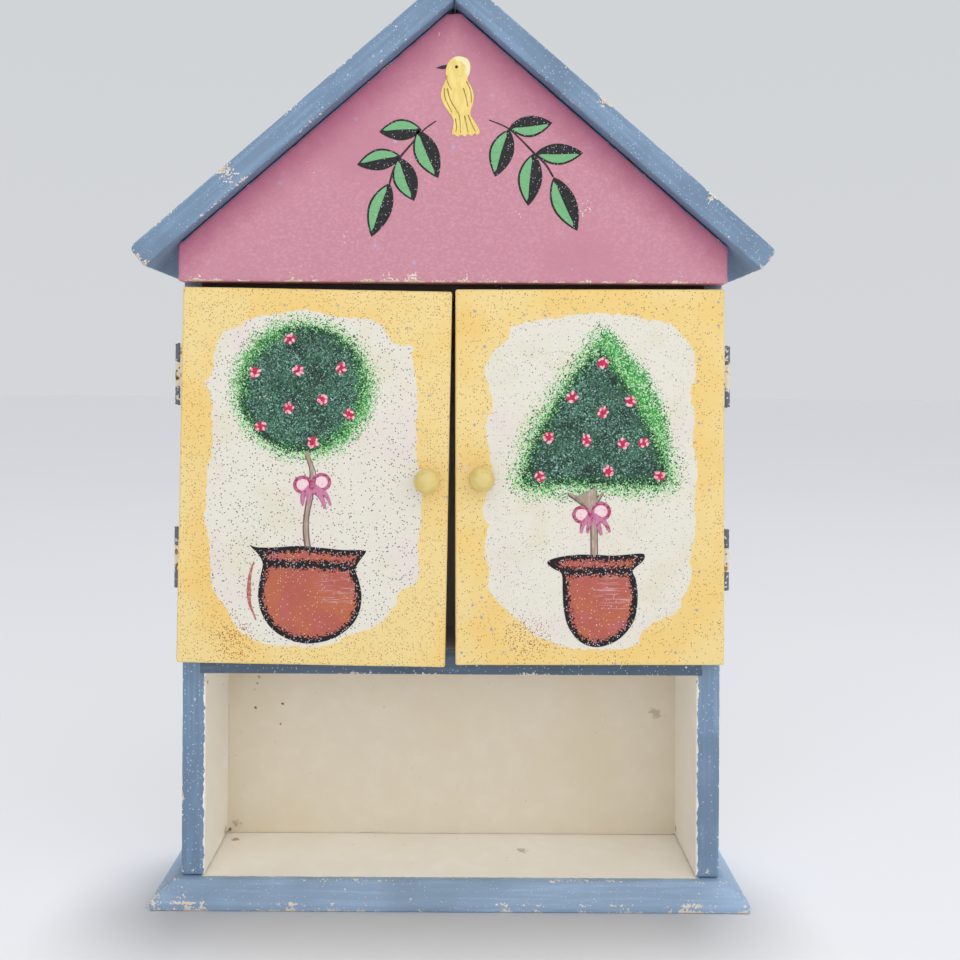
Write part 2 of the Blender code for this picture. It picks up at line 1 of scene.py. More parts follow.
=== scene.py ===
"""The looks of a small painted wall cabinet shaped like a birdhouse.

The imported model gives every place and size. Each board and knob is made again here as a finer
piece that carries brushed paint, thrown specks and worn arrises. The topiary trees, the sprigs and
the bird lie on the boards as thin films of paint. Places are in metres, and the painted pictures,
the shader patterns and the wear are laid out in millimetres.
"""

import logging
import math
import random
from collections.abc import Callable, Sequence
from dataclasses import dataclass, field
from enum import Enum

import bmesh
import bpy
import numpy as np
from mathutils import Matrix, Vector, noise


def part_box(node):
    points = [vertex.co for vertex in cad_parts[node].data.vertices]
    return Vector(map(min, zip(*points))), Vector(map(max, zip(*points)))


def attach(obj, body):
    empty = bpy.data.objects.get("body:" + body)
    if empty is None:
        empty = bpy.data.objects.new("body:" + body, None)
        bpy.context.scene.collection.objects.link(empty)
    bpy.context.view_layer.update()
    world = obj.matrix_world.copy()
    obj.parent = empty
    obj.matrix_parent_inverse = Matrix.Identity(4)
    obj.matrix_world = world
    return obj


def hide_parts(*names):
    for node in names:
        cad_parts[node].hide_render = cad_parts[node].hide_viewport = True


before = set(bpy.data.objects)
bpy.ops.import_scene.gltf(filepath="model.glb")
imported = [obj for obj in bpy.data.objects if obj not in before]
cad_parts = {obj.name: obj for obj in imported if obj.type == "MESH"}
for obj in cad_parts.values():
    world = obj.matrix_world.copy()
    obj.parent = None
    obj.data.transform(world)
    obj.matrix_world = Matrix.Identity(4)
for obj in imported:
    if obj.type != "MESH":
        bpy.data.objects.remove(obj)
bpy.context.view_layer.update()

LOG = logging.getLogger("birdhouse_cabinet")
MM = 0.001
ROOF_PITCH = math.radians(41.0)
SKIN = 0.00005  # how far a fine board stays inside its packed one
CLOSED = 0.36 * MM  # how far a board grows where paint closes the gap beside it
PEAK_HALF = 0.003  # half the blunt peak of the gable and the back
NOWHERE = -99.0  # a signed distance, in millimetres, that is far outside every picture

Colour = tuple[float, float, float, float]
Point = tuple[float, float]
Triple = tuple[float, float, float]


def rgb(red: int, green: int, blue: int) -> Colour:
    """Return a linear colour.

    Args:
        red: Display value from 0 to 255.
        green: Display value from 0 to 255.
        blue: Display value from 0 to 255.

    Returns:
        The colour that a shader socket takes.
    """

    def linear(value: int) -> float:
        """Undo the display curve."""
        share = value / 255
        return share / 12.92 if share <= 0.04045 else ((share + 0.055) / 1.055) ** 2.4

    return linear(red), linear(green), linear(blue), 1.0


def tinted(colour: Colour, strength: float) -> Colour:
    """Return a colour made lighter, above 1, or darker, below it."""
    red, green, blue, alpha = colour
    return red * strength, green * strength, blue * strength, alpha


class Side(Enum):
    """The two hands of the cabinet."""

    LEFT = -1
    RIGHT = 1

    @property
    def label(self) -> str:
        """Return the word that node names use."""
        return self.name.lower()


class Tree(Enum):
    """The two clipped trees on the doors."""

    BALL = "ball"
    CONE = "cone"


# ------------------------------------------------------------------ shader expressions


class Signal:
    """A node's output that takes part in Python arithmetic."""

    def __init__(self, graph: "Graph", socket: bpy.types.NodeSocket) -> None:
        """Wrap a socket of a graph."""
        self.graph = graph
        self.socket = socket

    def __add__(self, other: "Signal | float") -> "Signal":
        """Return the sum."""
        return self.graph.math("ADD", self, other)

    def __radd__(self, other: float) -> "Signal":
        """Return the sum with a number on the left."""
        return self.graph.math("ADD", other, self)

    def __sub__(self, other: "Signal | float") -> "Signal":
        """Return the difference."""
        return self.graph.math("SUBTRACT", self, other)

    def __rsub__(self, other: float) -> "Signal":
        """Return the difference from a number."""
        return self.graph.math("SUBTRACT", other, self)

    def __mul__(self, other: "Signal | float") -> "Signal":
        """Return the product."""
        return self.graph.math("MULTIPLY", self, other)

    def __rmul__(self, other: float) -> "Signal":
        """Return the product with a number on the left."""
        return self.graph.math("MULTIPLY", other, self)

    def __lt__(self, other: "Signal | float") -> "Signal":
        """Return 1 where this is the smaller."""
        return self.graph.math("LESS_THAN", self, other)

    def __gt__(self, other: "Signal | float") -> "Signal":
        """Return 1 where this is the larger."""
        return self.graph.math("GREATER_THAN", self, other)

    def __abs__(self) -> "Signal":
        """Return the value without its sign."""
        return self.graph.math("ABSOLUTE", self)

    def least(self, other: "Signal | float") -> "Signal":
        """Return the smaller of two values."""
        return self.graph.math("MINIMUM", self, other)

    def most(self, other: "Signal | float") -> "Signal":
        """Return the larger of two values."""
        return self.graph.math("MAXIMUM", self, other)

    def clamped(self) -> "Signal":
        """Return the value held between 0 and 1."""
        made = self.graph.node("ShaderNodeClamp", {}, {"Value": self})
        return Signal(self.graph, made.outputs["Result"])

    def ramp(self, low: float, high: float) -> "Signal":
        """Return a smooth step.

        Args:
            low: The value that gives 0.
            high: The value that gives 1, above low.

        Returns:
            A value from 0 to 1.
        """
        made = self.graph.node(
            "ShaderNodeMapRange",
            {"interpolation_type": "SMOOTHSTEP"},
            {"Value": self, "From Min": low, "From Max": high},
        )
        return Signal(self.graph, made.outputs["Result"])


@dataclass(frozen=True)
class Cells:
    """A field of scattered points: the distance to the nearest, in cells, and two random values."""

    distance: Signal
    first: Signal
    second: Signal


class Graph:
    """The node tree of one material, whose point is the object's own place in millimetres."""

    def __init__(self, name: str) -> None:
        """Start a material with a Principled shader.

        Args:
            name: The material's name.
        """
        self.material = bpy.data.materials.new(name)
        self.material.use_nodes = True
        self.tree = self.material.node_tree
        self.tree.nodes.clear()
        self.shader = self.node("ShaderNodeBsdfPrincipled")
        output = self.node("ShaderNodeOutputMaterial")
        self.tree.links.new(self.shader.outputs["BSDF"], output.inputs["Surface"])
        place = Signal(self, self.node("ShaderNodeTexCoord").outputs["Object"])
        made = self.node("ShaderNodeVectorMath", {"operation": "SCALE"}, {0: place, "Scale": 1 / MM})
        self.point = Signal(self, made.outputs["Vector"])
        split = self.node("ShaderNodeSeparateXYZ", {}, {"Vector": self.point})
        self.x, self.y, self.z = (Signal(self, split.outputs[axis]) for axis in "XYZ")

    def node(
        self, kind: str, settings: dict[str, object] | None = None, values: dict | None = None
    ) -> bpy.types.Node:
        """Add a node.

        Args:
            kind: The node's type name.
            settings: Properties to set first, and "stops", a ramp's (place, colour) pairs.
            values: What each input socket holds or is linked to, by name or index.

        Returns:
            The node.
        """
        made = self.tree.nodes.new(kind)
        for name, value in (settings or {}).items():
            if name == "stops":
                self.set_stops(made.color_ramp, value)
            else:
                setattr(made, name, value)
        for key, value in (values or {}).items():
            if isinstance(value, Signal):
                self.tree.links.new(value.socket, made.inputs[key])
            else:
                made.inputs[key].default_value = value
        return made

    @staticmethod
    def set_stops(ramp: bpy.types.ColorRamp, stops: Sequence[tuple[float, Colour]]) -> None:
        """Give a ramp hard steps of colour.

        Args:
            ramp: The ramp to fill.
            stops: Place and colour of each step, from 0 upwards.
        """
        ramp.interpolation = "CONSTANT"
        while len(ramp.elements) < len(stops):
            ramp.elements.new(1.0)
        for element, (place, colour) in zip(ramp.elements, stops):
            element.position = place
            element.color = colour

    def math(self, operation: str, *values: "Signal | float") -> Signal:
        """Return a Math node's result for an operation on signals and numbers."""
        made = self.node("ShaderNodeMath", {"operation": operation}, dict(enumerate(values)))
        return Signal(self, made.outputs["Value"])

    def mix(self, share: "Signal | float", under: "Signal | Colour", over: "Signal | Colour") -> Signal:
        """Return a colour part of the way from one to another.

        Args:
            share: How much of the second colour shows.
            under: The first colour.
            over: The second colour.

        Returns:
            The mixed colour.
        """
        made = self.node("ShaderNodeMix", {"data_type": "RGBA"}, {0: share, 6: under, 7: over})
        return Signal(self, made.outputs[2])

    def noise(
        self, lengths: float | Triple, seed: float = 0.0, detail: float = 3.0, turn: float = 0.0
    ) -> Signal:
        """Return soft noise.

        Args:
            lengths: Size of a feature in millimetres, or along each axis.
            seed: Moves the pattern.
            detail: Octaves.
            turn: Turn of the pattern about Y.

        Returns:
            A value about 0.5.
        """
        scale = lengths if isinstance(lengths, tuple) else (lengths, lengths, lengths)
        at = self.node(
            "ShaderNodeMapping",
            {"vector_type": "TEXTURE"},
            {
                "Vector": self.point,
                "Location": (seed * 71.0, seed * 37.0, seed * 53.0),
                "Rotation": (0.0, turn, 0.0),
                "Scale": scale,
            },
        )
        made = self.node(
            "ShaderNodeTexNoise",
            {},
            {"Vector": Signal(self, at.outputs["Vector"]), "Scale": 1.0, "Detail": detail},
        )
        return Signal(self, made.outputs[0])

    def cells(self, spacing: float, seed: float = 0.0) -> Cells:
        """Return scattered points.

        Args:
            spacing: Size of a cell in millimetres.
            seed: Moves the pattern.

        Returns:
            The distance to the nearest point and two random values of its cell.
        """
        at = self.node(
            "ShaderNodeVectorMath",
            {"operation": "MULTIPLY_ADD"},
            {0: self.point, 1: (1 / spacing,) * 3, 2: (seed * 7.3, seed * 3.1, seed * 5.7)},
        )
        made = self.node(
            "ShaderNodeTexVoronoi", {}, {"Vector": Signal(self, at.outputs["Vector"]), "Scale": 1.0}
        )
        parts = self.node(
            "ShaderNodeSeparateColor", {}, {"Color": Signal(self, made.outputs["Color"])}
        )
        return Cells(
            Signal(self, made.outputs["Distance"]),
            Signal(self, parts.outputs["Red"]),
            Signal(self, parts.outputs["Green"]),
        )

    def steps(self, value: Signal, stops: Sequence[tuple[float, Colour]]) -> Signal:
        """Return one of several flat colours for a value from 0 to 1."""
        made = self.node("ShaderNodeValToRGB", {"stops": stops}, {"Fac": value})
        return Signal(self, made.outputs["Color"])

    def attribute(self, name: str) -> Signal:
        """Return a float attribute of the mesh."""
        made = self.node("ShaderNodeAttribute", {"attribute_name": name})
        return Signal(self, made.outputs["Fac"])

    def near(self, spots: Sequence[tuple[Triple, float]]) -> Signal:
        """Return how close the surface is to any of several places.

        Args:
            spots: Place and radius of each, in millimetres.

        Returns:
            1 at a place, falling to 0 at its radius.
        """
        total: Signal | None = None
        for place, radius in spots:
            made = self.node(
                "ShaderNodeVectorMath", {"operation": "DISTANCE"}, {0: self.point, 1: place}
            )
            share = (1 - Signal(self, made.outputs["Value"]) * (1 / radius)).clamped()
            total = share if total is None else total.most(share)
        return total

    def finish(
        self,
        colour: Signal,
        roughness: "Signal | float",
        height: Signal | None = None,
        metallic: "Signal | float" = 0.0,
        gloss: float = 0.35,
    ) -> bpy.types.Material:
        """Connect the surface and return its material.

        Args:
            colour: Base colour.
            roughness: Roughness.
            height: Relief in millimetres.
            metallic: Share of bare metal.
            gloss: Specular level of the paint.

        Returns:
            The material.
        """
        relief = {}
        if height is not None:
            bump = self.node("ShaderNodeBump", {}, {"Height": height, "Distance": MM})
            relief["Normal"] = Signal(self, bump.outputs["Normal"])
        sockets = {"Base Color": colour, "Roughness": roughness, "Metallic": metallic, **relief}
        for name, value in sockets.items():
            if isinstance(value, Signal):
                self.tree.links.new(value.socket, self.shader.inputs[name])
            else:
                self.shader.inputs[name].default_value = value
        self.shader.inputs["Specular IOR Level"].default_value = gloss
        return self.material


# ------------------------------------------------------------------ colours

BLUE = rgb(118, 142, 168)
BLUE_DARK = rgb(104, 127, 156)
BLUE_DROP = rgb(190, 208, 226)
# Painted shade: a darker copy of the blue for the left side panel, on the side away from the light.
SHADED_POST_BLUE = rgb(112, 136, 162)
BASE_BLUE = rgb(146, 170, 197)
# Painted shade: the shelf's front edge is a darker blue for the doors' shadow below their feet.
SHADED_SHELF_BLUE = rgb(84, 102, 124)
PINK = rgb(200, 137, 152)
PINK_LIGHT = rgb(210, 150, 165)
PINK_DARK = rgb(196, 131, 149)
# Painted shade: the darker pink under the roof's overhang on the gable.
PAINTED_PINK_SHADE = rgb(172, 92, 120)
PINK_SMUDGE = rgb(186, 165, 196)
YELLOW = rgb(240, 206, 126)
YELLOW_PALE = rgb(240, 214, 146)
YELLOW_WARM = rgb(242, 195, 106)
CREAM_WARM = rgb(222, 208, 182)
CREAM_PALE = rgb(243, 237, 224)
PATCH = rgb(230, 225, 211)
PATCH_PINK = rgb(230, 219, 211)
PATCH_SAND = rgb(227, 221, 201)
UNDERCOAT = rgb(236, 226, 212)
BARE_WOOD = rgb(196, 158, 118)
RAW_WOOD = rgb(205, 176, 138)
RAW_GRAIN = rgb(170, 136, 98)
PLUM = rgb(78, 58, 72)
OLIVE = rgb(122, 106, 84)
TAN = rgb(186, 118, 62)
ROSE_DROP = rgb(206, 128, 128)
GREY_DROP = rgb(160, 160, 178)
INK = rgb(8, 7, 12)
LEAF_DEEP = rgb(28, 78, 54)
LEAF_MID = rgb(62, 112, 86)
LEAF_BLACK = rgb(20, 34, 34)
LEAF_MIST = rgb(98, 140, 122)
LEAF_PALE = rgb(204, 222, 200)
LEAF_DEW = rgb(150, 188, 182)
LEAF_BRIGHT = rgb(66, 160, 78)
LEAF_LIME = rgb(168, 220, 148)
TERRACOTTA = rgb(180, 92, 78)
TERRACOTTA_WARM = rgb(186, 102, 70)
TERRACOTTA_PINK = rgb(184, 98, 94)
CRIMSON = rgb(200, 40, 78)
PETAL = rgb(244, 214, 218)
MAUVE = rgb(200, 126, 160)
RIBBON = rgb(190, 104, 142)
RIBBON_DEEP = rgb(166, 44, 84)
TRUNK = rgb(168, 150, 132)
TRUNK_DARK = rgb(112, 88, 80)
SPRIG_GREEN = rgb(120, 180, 126)
BIRD_YELLOW = rgb(236, 208, 118)
BIRD_CREAM = rgb(244, 234, 180)
BIRD_LINE = rgb(150, 122, 40)
BRASS = rgb(176, 134, 74)
TARNISH = rgb(104, 74, 44)
STEEL = rgb(168, 168, 172)
RUST = rgb(110, 76, 54)
BROWN_DROP = rgb(172, 104, 52)
CLAY_DROP = rgb(216, 132, 116)
CLAY_SPARK = rgb(226, 204, 200)
CLAY_SPLASH = rgb(186, 184, 200)
CLAY_SCRATCH = rgb(226, 190, 190)
OUTLINE_SPARK = rgb(205, 196, 206)
POT_LINE = rgb(176, 96, 90)
POT_LINE_LIGHT = rgb(206, 150, 138)
TRUNK_LIGHT = rgb(196, 176, 164)
TRUNK_EDGE = rgb(140, 104, 92)
PETAL_PINK = rgb(240, 168, 184)
BERRY_DEEP = rgb(150, 34, 62)
BLUSH = rgb(240, 196, 206)
BLUSH_DEEP = rgb(228, 120, 146)
SPRIG_SPARK = rgb(208, 206, 210)
SPRIG_BLACK = rgb(30, 30, 38)
SPRIG_LIGHT = rgb(150, 208, 156)
SPRIG_DEEP = rgb(104, 176, 116)
TWIG = rgb(58, 34, 44)
BIRD_GOLD = rgb(243, 219, 136)
BIRD_DROP = rgb(150, 130, 84)
BIRD_LINE_LIGHT = rgb(186, 158, 70)
BEAK = rgb(34, 22, 26)
BEAK_LIGHT = rgb(56, 34, 34)
KNOB_DROP = rgb(196, 170, 96)
KNOB_YELLOW = rgb(220, 196, 114)
KNOB_LIGHT = rgb(224, 203, 132)
BLUE_SPRAY = rgb(210, 218, 226)
WHITE_DROP = rgb(226, 230, 232)
PRIMER = rgb(220, 204, 184)
CREAM_DROP = rgb(188, 168, 136)
# Painted light: the insides' cream (this, CREAM_LIGHT and CREAM_PALE) is a lighter copy of the back's cream,
# standing for the light on the sides, the base's floor and the shelves.
LIT_CREAM_BODY = rgb(247, 242, 231)
CREAM_LIGHT = rgb(250, 246, 237)
BACK_CREAM = rgb(224, 213, 193)
BACK_LIGHT = rgb(227, 217, 198)
BACK_DROP = rgb(178, 158, 128)
NAIL_HOLE = rgb(46, 38, 34)
OLD_HOLE = rgb(96, 84, 70)
SCUFF = rgb(150, 136, 116)
GREY_STAIN = rgb(184, 172, 152)
PALE_STAIN = rgb(188, 178, 160)
TAN_STAIN = rgb(186, 166, 134)
CORNER_STAIN = rgb(178, 156, 124)
SIDE_STAIN = rgb(176, 158, 132)
FLOOR_STAIN = rgb(176, 150, 120)
# Painted shade: the near-black of the gap above the doors, laid on the ceiling board's front edge.
GAP_SHADE = rgb(38, 30, 28)
GAP_SHADE_LIGHT = rgb(52, 42, 38)
GAP_SHADE_DEEP = rgb(28, 22, 22)
RAW_LIGHT = rgb(216, 190, 154)
PINK_DROP = rgb(222, 186, 202)
PINK_SPOT = rgb(120, 100, 120)
HINGE_BLUE = rgb(98, 108, 122)
HINGE_CREAM = rgb(226, 216, 192)
PIN_PAINT = rgb(190, 190, 190)
FLOOR_GREY = rgb(205, 206, 210)
FLOOR_LIGHT = rgb(208, 209, 212)
HORIZON = rgb(212, 214, 217)
UPPER_AIR = rgb(209, 212, 215)
OVERHEAD = rgb(126, 128, 132)


# ------------------------------------------------------------------ finishes


@dataclass(frozen=True)
class Specks:
    """Drops of one colour thrown over a coat. Lengths are in millimetres."""

    colour: Colour
    spacing: float
    radius: float
    share: float
    seed: float

    def over(self, graph: Graph, coat: Signal) -> Signal:
        """Throw these drops over a coat.

        Args:
            graph: The material's graph.
            coat: The coat's colour.

        Returns:
            The speckled colour.
        """

        drops = graph.cells(self.spacing, self.seed)
        reach = (self.radius / self.spacing) * (0.45 + drops.second)
        mask = ((reach - drops.distance) * 9.0 + 0.3).clamped() * (drops.first < self.share)
        return graph.mix(mask, coat, self.colour)


@dataclass(frozen=True)
class Coat:
    """One brushed colour with its streaks, clouds and specks. Lengths are in millimetres."""

    body: Colour
    light: Colour
    dark: Colour
    stroke: Triple = (2.0, 30.0, 30.0)
    turn: float = 0.0
    cloud: float = 38.0
    specks: tuple[Specks, ...] = ()
    seed: float = 1.0

    def brush(self, graph: Graph) -> Signal:
        """Return the brush marks, a value about 0.5."""
        return graph.noise(self.stroke, self.seed, 4.0, self.turn)

    def colour(self, graph: Graph) -> Signal:
        """Build the coat's colour.

        Args:
            graph: The material's graph.

        Returns:
            The colour.
        """

        shade = graph.mix(self.brush(graph).ramp(0.42, 0.72), self.body, self.light)
        clouds = graph.noise(self.cloud, self.seed + 0.4, 2.0).ramp(0.46, 0.72)
        shade = graph.mix(clouds * 0.75, shade, self.dark)
        for drops in self.specks:
            shade = drops.over(graph, shade)
        return shade


@dataclass(frozen=True)
class Wear:
    """Paint lost at the arrises, down to the undercoat and then to the wood."""

    width: float = 1.5
    amount: float = 0.25
    level: float = 0.33
    spots: tuple[tuple[Triple, float], ...] = ()
    undercoat: Colour = UNDERCOAT
    wood: Colour = BARE_WOOD

    def masks(self, graph: Graph) -> tuple[Signal, Signal]:
        """Find where the paint is lost.

        Args:
            graph: The material's graph.

        Returns:
            Where the undercoat shows, and where the wood does.
        """

        edge = 1 - graph.attribute("arris").ramp(0.0, self.width)
        loss = graph.noise(1.1, 3.0, 4.0) + graph.noise((16.0, 16.0, 16.0), 4.0, 2.0) - 1.0
        loss = loss + edge * self.amount
        if self.spots:
            loss = loss + graph.near(self.spots) * 0.3
        chips = loss.ramp(self.level, self.level + 0.015)
        bare = loss.ramp(self.level + 0.08, self.level + 0.1)
        return chips, bare


@dataclass(frozen=True)
class BoardFinish:
    """The finish of a painted board: one coat, or two with a border between them, and an optional painted
    shade.
    """

    name: str
    outside: Coat
    inside: Coat | None = None
    border: Callable[[Graph], Signal] | None = None
    wear: Wear = Wear()
    roughness: float = 0.52
    stains: tuple[tuple[Triple, float, Colour], ...] = ()
    shade: Callable[[Graph], Signal] | None = None
    shade_colour: Colour = PAINTED_PINK_SHADE

    def material(self) -> bpy.types.Material:
        """Build the material.

        Returns:
            The material.
        """

        graph = Graph(self.name)
        colour = self.outside.colour(graph)
        brush = self.outside.brush(graph)
        # Painted shade: mix in the shade colour where the shade callable gives a share.
        if self.shade:
            colour = graph.mix(self.shade(graph), colour, self.shade_colour)
        if self.inside and self.border:
            colour = graph.mix(self.border(graph), colour, self.inside.colour(graph))
        for place, radius, stain_and_gap_shade in self.stains:
            grit = graph.noise(1.6, 8.0, 4.0) - 0.5
            mark = (graph.near([(place, radius)]) + grit * 1.6).ramp(0.35, 0.75)
            colour = graph.mix(mark * 0.85, colour, stain_and_gap_shade)
        chips, bare = self.wear.masks(graph)
        colour = graph.mix(chips, colour, self.wear.undercoat)
        colour = graph.mix(bare * 0.8, colour, self.wear.wood)
        roughness = brush * 0.16 + chips * 0.22 + (self.roughness - 0.08)
        height = brush * 0.07 + graph.noise(0.5, 6.0, 2.0) * 0.012 - chips * 0.05
        return graph.finish(colour, roughness, height)


@dataclass(frozen=True)
class DoorFinish:
    """Yellow board with a ragged cream patch and a stippled tree on it."""

    name: str
    tree: Tree
    seed: float
    brown_cluster: tuple[Triple, float]
    wear: Wear = Wear(width=1.1, amount=0.23, level=0.36)

    def ground(self, graph: Graph) -> Signal:
        """Build the yellow board and its cream patch, with their specks.

        Args:
            graph: The material's graph.

        Returns:
            The colour.
        """

        yellow = graph.mix(
            graph.noise(34.0, self.seed, 2.0).ramp(0.4, 0.66), YELLOW_PALE, YELLOW
        )
        warm = graph.noise(24.0, self.seed + 0.7, 3.0).ramp(0.5, 0.8) * 0.6
        yellow = graph.mix(warm, yellow, YELLOW_WARM)
        for drops in (
            Specks(TAN, 0.9, 0.18, 0.62, self.seed + 1),
            Specks(OLIVE, 1.15, 0.18, 0.42, self.seed + 2),
            Specks(PLUM, 1.0, 0.155, 0.42, self.seed + 3),
            Specks(GREY_DROP, 4.2, 0.5, 0.3, self.seed + 4),
        ):
            yellow = drops.over(graph, yellow)
        cream = graph.mix(graph.noise(26.0, self.seed + 2, 2.0).ramp(0.5, 0.74), PATCH, PATCH_PINK)
        cream = graph.mix(graph.noise(17.0, self.seed + 5, 2.0).ramp(0.5, 0.7), cream, PATCH_SAND)
        for drops in (
            Specks(ROSE_DROP, 1.5, 0.19, 0.28, self.seed + 6),
            Specks(OLIVE, 1.05, 0.19, 0.44, self.seed + 7),
            Specks(PLUM, 0.95, 0.2, 0.78, self.seed + 8),
            Specks(GREY_DROP, 2.8, 0.36, 0.3, self.seed + 9),
        ):
            cream = drops.over(graph, cream)
        ragged = (graph.noise(2.4, self.seed, 4.0) - 0.5) * 3.4
        return graph.mix((graph.attribute("patch") + ragged).ramp(-0.25, 0.25), yellow, cream)

    def foliage(self, graph: Graph, ground: Signal) -> Signal:
        """Stipple the tree over the ground.

        Args:
            graph: The material's graph.
            ground: The colour below.

        Returns:
            The colour.
        """

        ragged = (graph.noise(6.0, self.seed + 3, 2.0) - 0.5) * 3.0
        heart = graph.attribute("heart") + ragged
        glow = graph.attribute("glow")
        dots = graph.cells(0.46, self.seed + 11)
        fine = graph.cells(0.42, self.seed + 13)
        core = graph.steps(
            dots.second,
            ((0.0, LEAF_DEEP), (0.3, LEAF_MID), (0.5, LEAF_BLACK), (0.72, LEAF_MIST), (0.91, LEAF_DEW)),
        )
        dim = graph.steps(
            fine.first,
            ((0.0, LEAF_BLACK), (0.38, LEAF_DEEP), (0.62, LEAF_MID), (0.72, INK), (0.92, LEAF_DEW)),
        )
        edge = graph.steps(
            dots.second,
            ((0.0, INK), (0.3, LEAF_DEEP), (0.55, LEAF_BLACK), (0.74, LEAF_BRIGHT), (0.9, LEAF_LIME)),
        )
        fade = graph.steps(
            dots.second,
            ((0.0, LEAF_LIME), (0.42, LEAF_BRIGHT), (0.58, LEAF_PALE), (0.78, LEAF_DEEP), (0.92, LEAF_BLACK)),
        )
        bright = graph.steps(
            dots.second,
            ((0.0, LEAF_BRIGHT), (0.4, LEAF_LIME), (0.6, LEAF_BRIGHT), (0.82, LEAF_DEEP), (0.92, LEAF_PALE)),
        )
        dusk = graph.noise(15.0, self.seed + 4, 3.0).ramp(0.4, 0.62)
        leaves = graph.mix(dusk * (fine.second < 0.8), core, dim)
        teal = graph.noise(12.0, self.seed + 8, 2.0).ramp(0.48, 0.62)
        leaves = graph.mix(teal * (fine.second < 0.4) * 0.7, leaves, LEAF_MID)
        leaves = graph.mix((fine.first > heart.ramp(-1.0, 5.0)) * 0.95, leaves, edge)
        leaves = graph.mix(fine.second > heart.ramp(-2.5, 0.8), leaves, fade)
        leaves = graph.mix(glow > fine.first, leaves, bright)
        reach = graph.attribute("leafage") + ragged * 0.6
        return graph.mix(dots.first < reach.ramp(-4.5, 2.0) * 1.02, ground, leaves)

    def material(self) -> bpy.types.Material:
        """Build the material.

        Returns:
            The material.
        """

        graph = Graph(self.name)
        colour = self.foliage(graph, self.ground(graph))
        place, radius = self.brown_cluster
        cluster = graph.cells(0.75, self.seed + 20)
        crowd = graph.near([(place, radius)])
        mask = (cluster.first < (crowd * 1.3)) * ((0.42 - cluster.distance) * 9.0).clamped()
        colour = graph.mix(mask, colour, BROWN_DROP)
        chips, bare = self.wear.masks(graph)
        colour = graph.mix(chips, colour, self.wear.undercoat)
        colour = graph.mix(bare * 0.7, colour, self.wear.wood)
        brush = graph.noise((26.0, 26.0, 1.3), self.seed, 4.0)
        dabs = graph.noise(0.7, self.seed + 6, 2.0)
        height = brush * 0.05 + dabs * 0.03 - chips * 0.05
        roughness = brush * 0.14 + chips * 0.2 + 0.42
        return graph.finish(colour, roughness, height)


@dataclass(frozen=True)
class PotFinish:
    """Terracotta with a dark stippled outline that follows the mesh's ink attribute."""

    name: str
    seed: float
    scratch: tuple[Triple, float]

    def material(self) -> bpy.types.Material:
        """Build the material.

        Returns:
            The material.
        """

        graph = Graph(self.name)
        ink = graph.attribute("ink")
        clay = graph.mix(graph.noise(13.0, self.seed, 2.0).ramp(0.46, 0.66), TERRACOTTA, TERRACOTTA_WARM)
        clay = graph.mix(graph.noise(9.0, self.seed + 1, 3.0).ramp(0.52, 0.7), clay, TERRACOTTA_PINK)
        clay = Specks(CLAY_DROP, 0.8, 0.2, 0.6, self.seed + 2).over(graph, clay)
        clay = Specks(CLAY_SPARK, 1.0, 0.2, 0.4, self.seed + 3).over(graph, clay)
        clay = Specks(CLAY_SPLASH, 8.0, 0.9, 0.2, self.seed + 4).over(graph, clay)
        hairs = graph.noise((9.0, 9.0, 0.28), self.seed + 5, 2.0).ramp(0.56, 0.68)
        clay = graph.mix(hairs * graph.near([self.scratch]).ramp(0.1, 0.6) * 0.7, clay, CLAY_SCRATCH)
        dots = graph.cells(0.55, self.seed + 6)
        sparks = graph.cells(0.8, self.seed + 7)
        spark = (sparks.first > 0.55) * ((0.36 - sparks.distance) * 9.0).clamped()
        line = graph.mix(spark, INK, OUTLINE_SPARK)
        cover = dots.first < (1 - ink.ramp(1.1, 4.2))
        colour = graph.mix(cover, clay, line)
        height = graph.noise(0.6, self.seed, 3.0) * 0.04 + cover * 0.02
        return graph.finish(colour, graph.noise(2.0, 2.0) * 0.2 + 0.42, height)


@dataclass(frozen=True)
class FilmFinish:
    """A thin layer of brushed artist's paint in two shades. Lengths are in millimetres."""

    name: str
    body: Colour
    second: Colour
    stroke: Triple = (1.2, 1.2, 1.2)
    balance: float = 0.56
    specks: tuple[Specks, ...] = ()
    roughness: float = 0.42
    seed: float = 5.0

    def material(self) -> bpy.types.Material:
        """Build the material.

        Returns:
            The material.
        """

        graph = Graph(self.name)
        brush = graph.noise(self.stroke, self.seed, 3.0)
        colour = graph.mix(brush.ramp(self.balance - 0.06, self.balance + 0.06), self.body, self.second)
        for drops in self.specks:
            colour = drops.over(graph, colour)
        height = brush * 0.05 + graph.noise(0.4, self.seed + 1, 2.0) * 0.015
        return graph.finish(colour, brush * 0.18 + (self.roughness - 0.09), height)


@dataclass(frozen=True)
class CrownFinish:
    """The bird's yellow paint, pale where the mesh's crown attribute is high."""

    name: str

    def material(self) -> bpy.types.Material:
        """Build the material.

        Returns:
            The material.
        """

        graph = Graph(self.name)
        brush = graph.noise((1.4, 1.4, 5.0), 2.0, 3.0)
        colour = graph.mix(brush.ramp(0.42, 0.62), BIRD_YELLOW, BIRD_GOLD)
        pale = (graph.attribute("crown") + (graph.noise(0.9, 3.0) - 0.5) * 0.8).ramp(0.35, 0.7)
        colour = graph.mix(pale, colour, BIRD_CREAM)
        colour = Specks(BIRD_DROP, 2.6, 0.22, 0.3, 4.0).over(graph, colour)
        return graph.finish(colour, brush * 0.15 + 0.36, brush * 0.06)


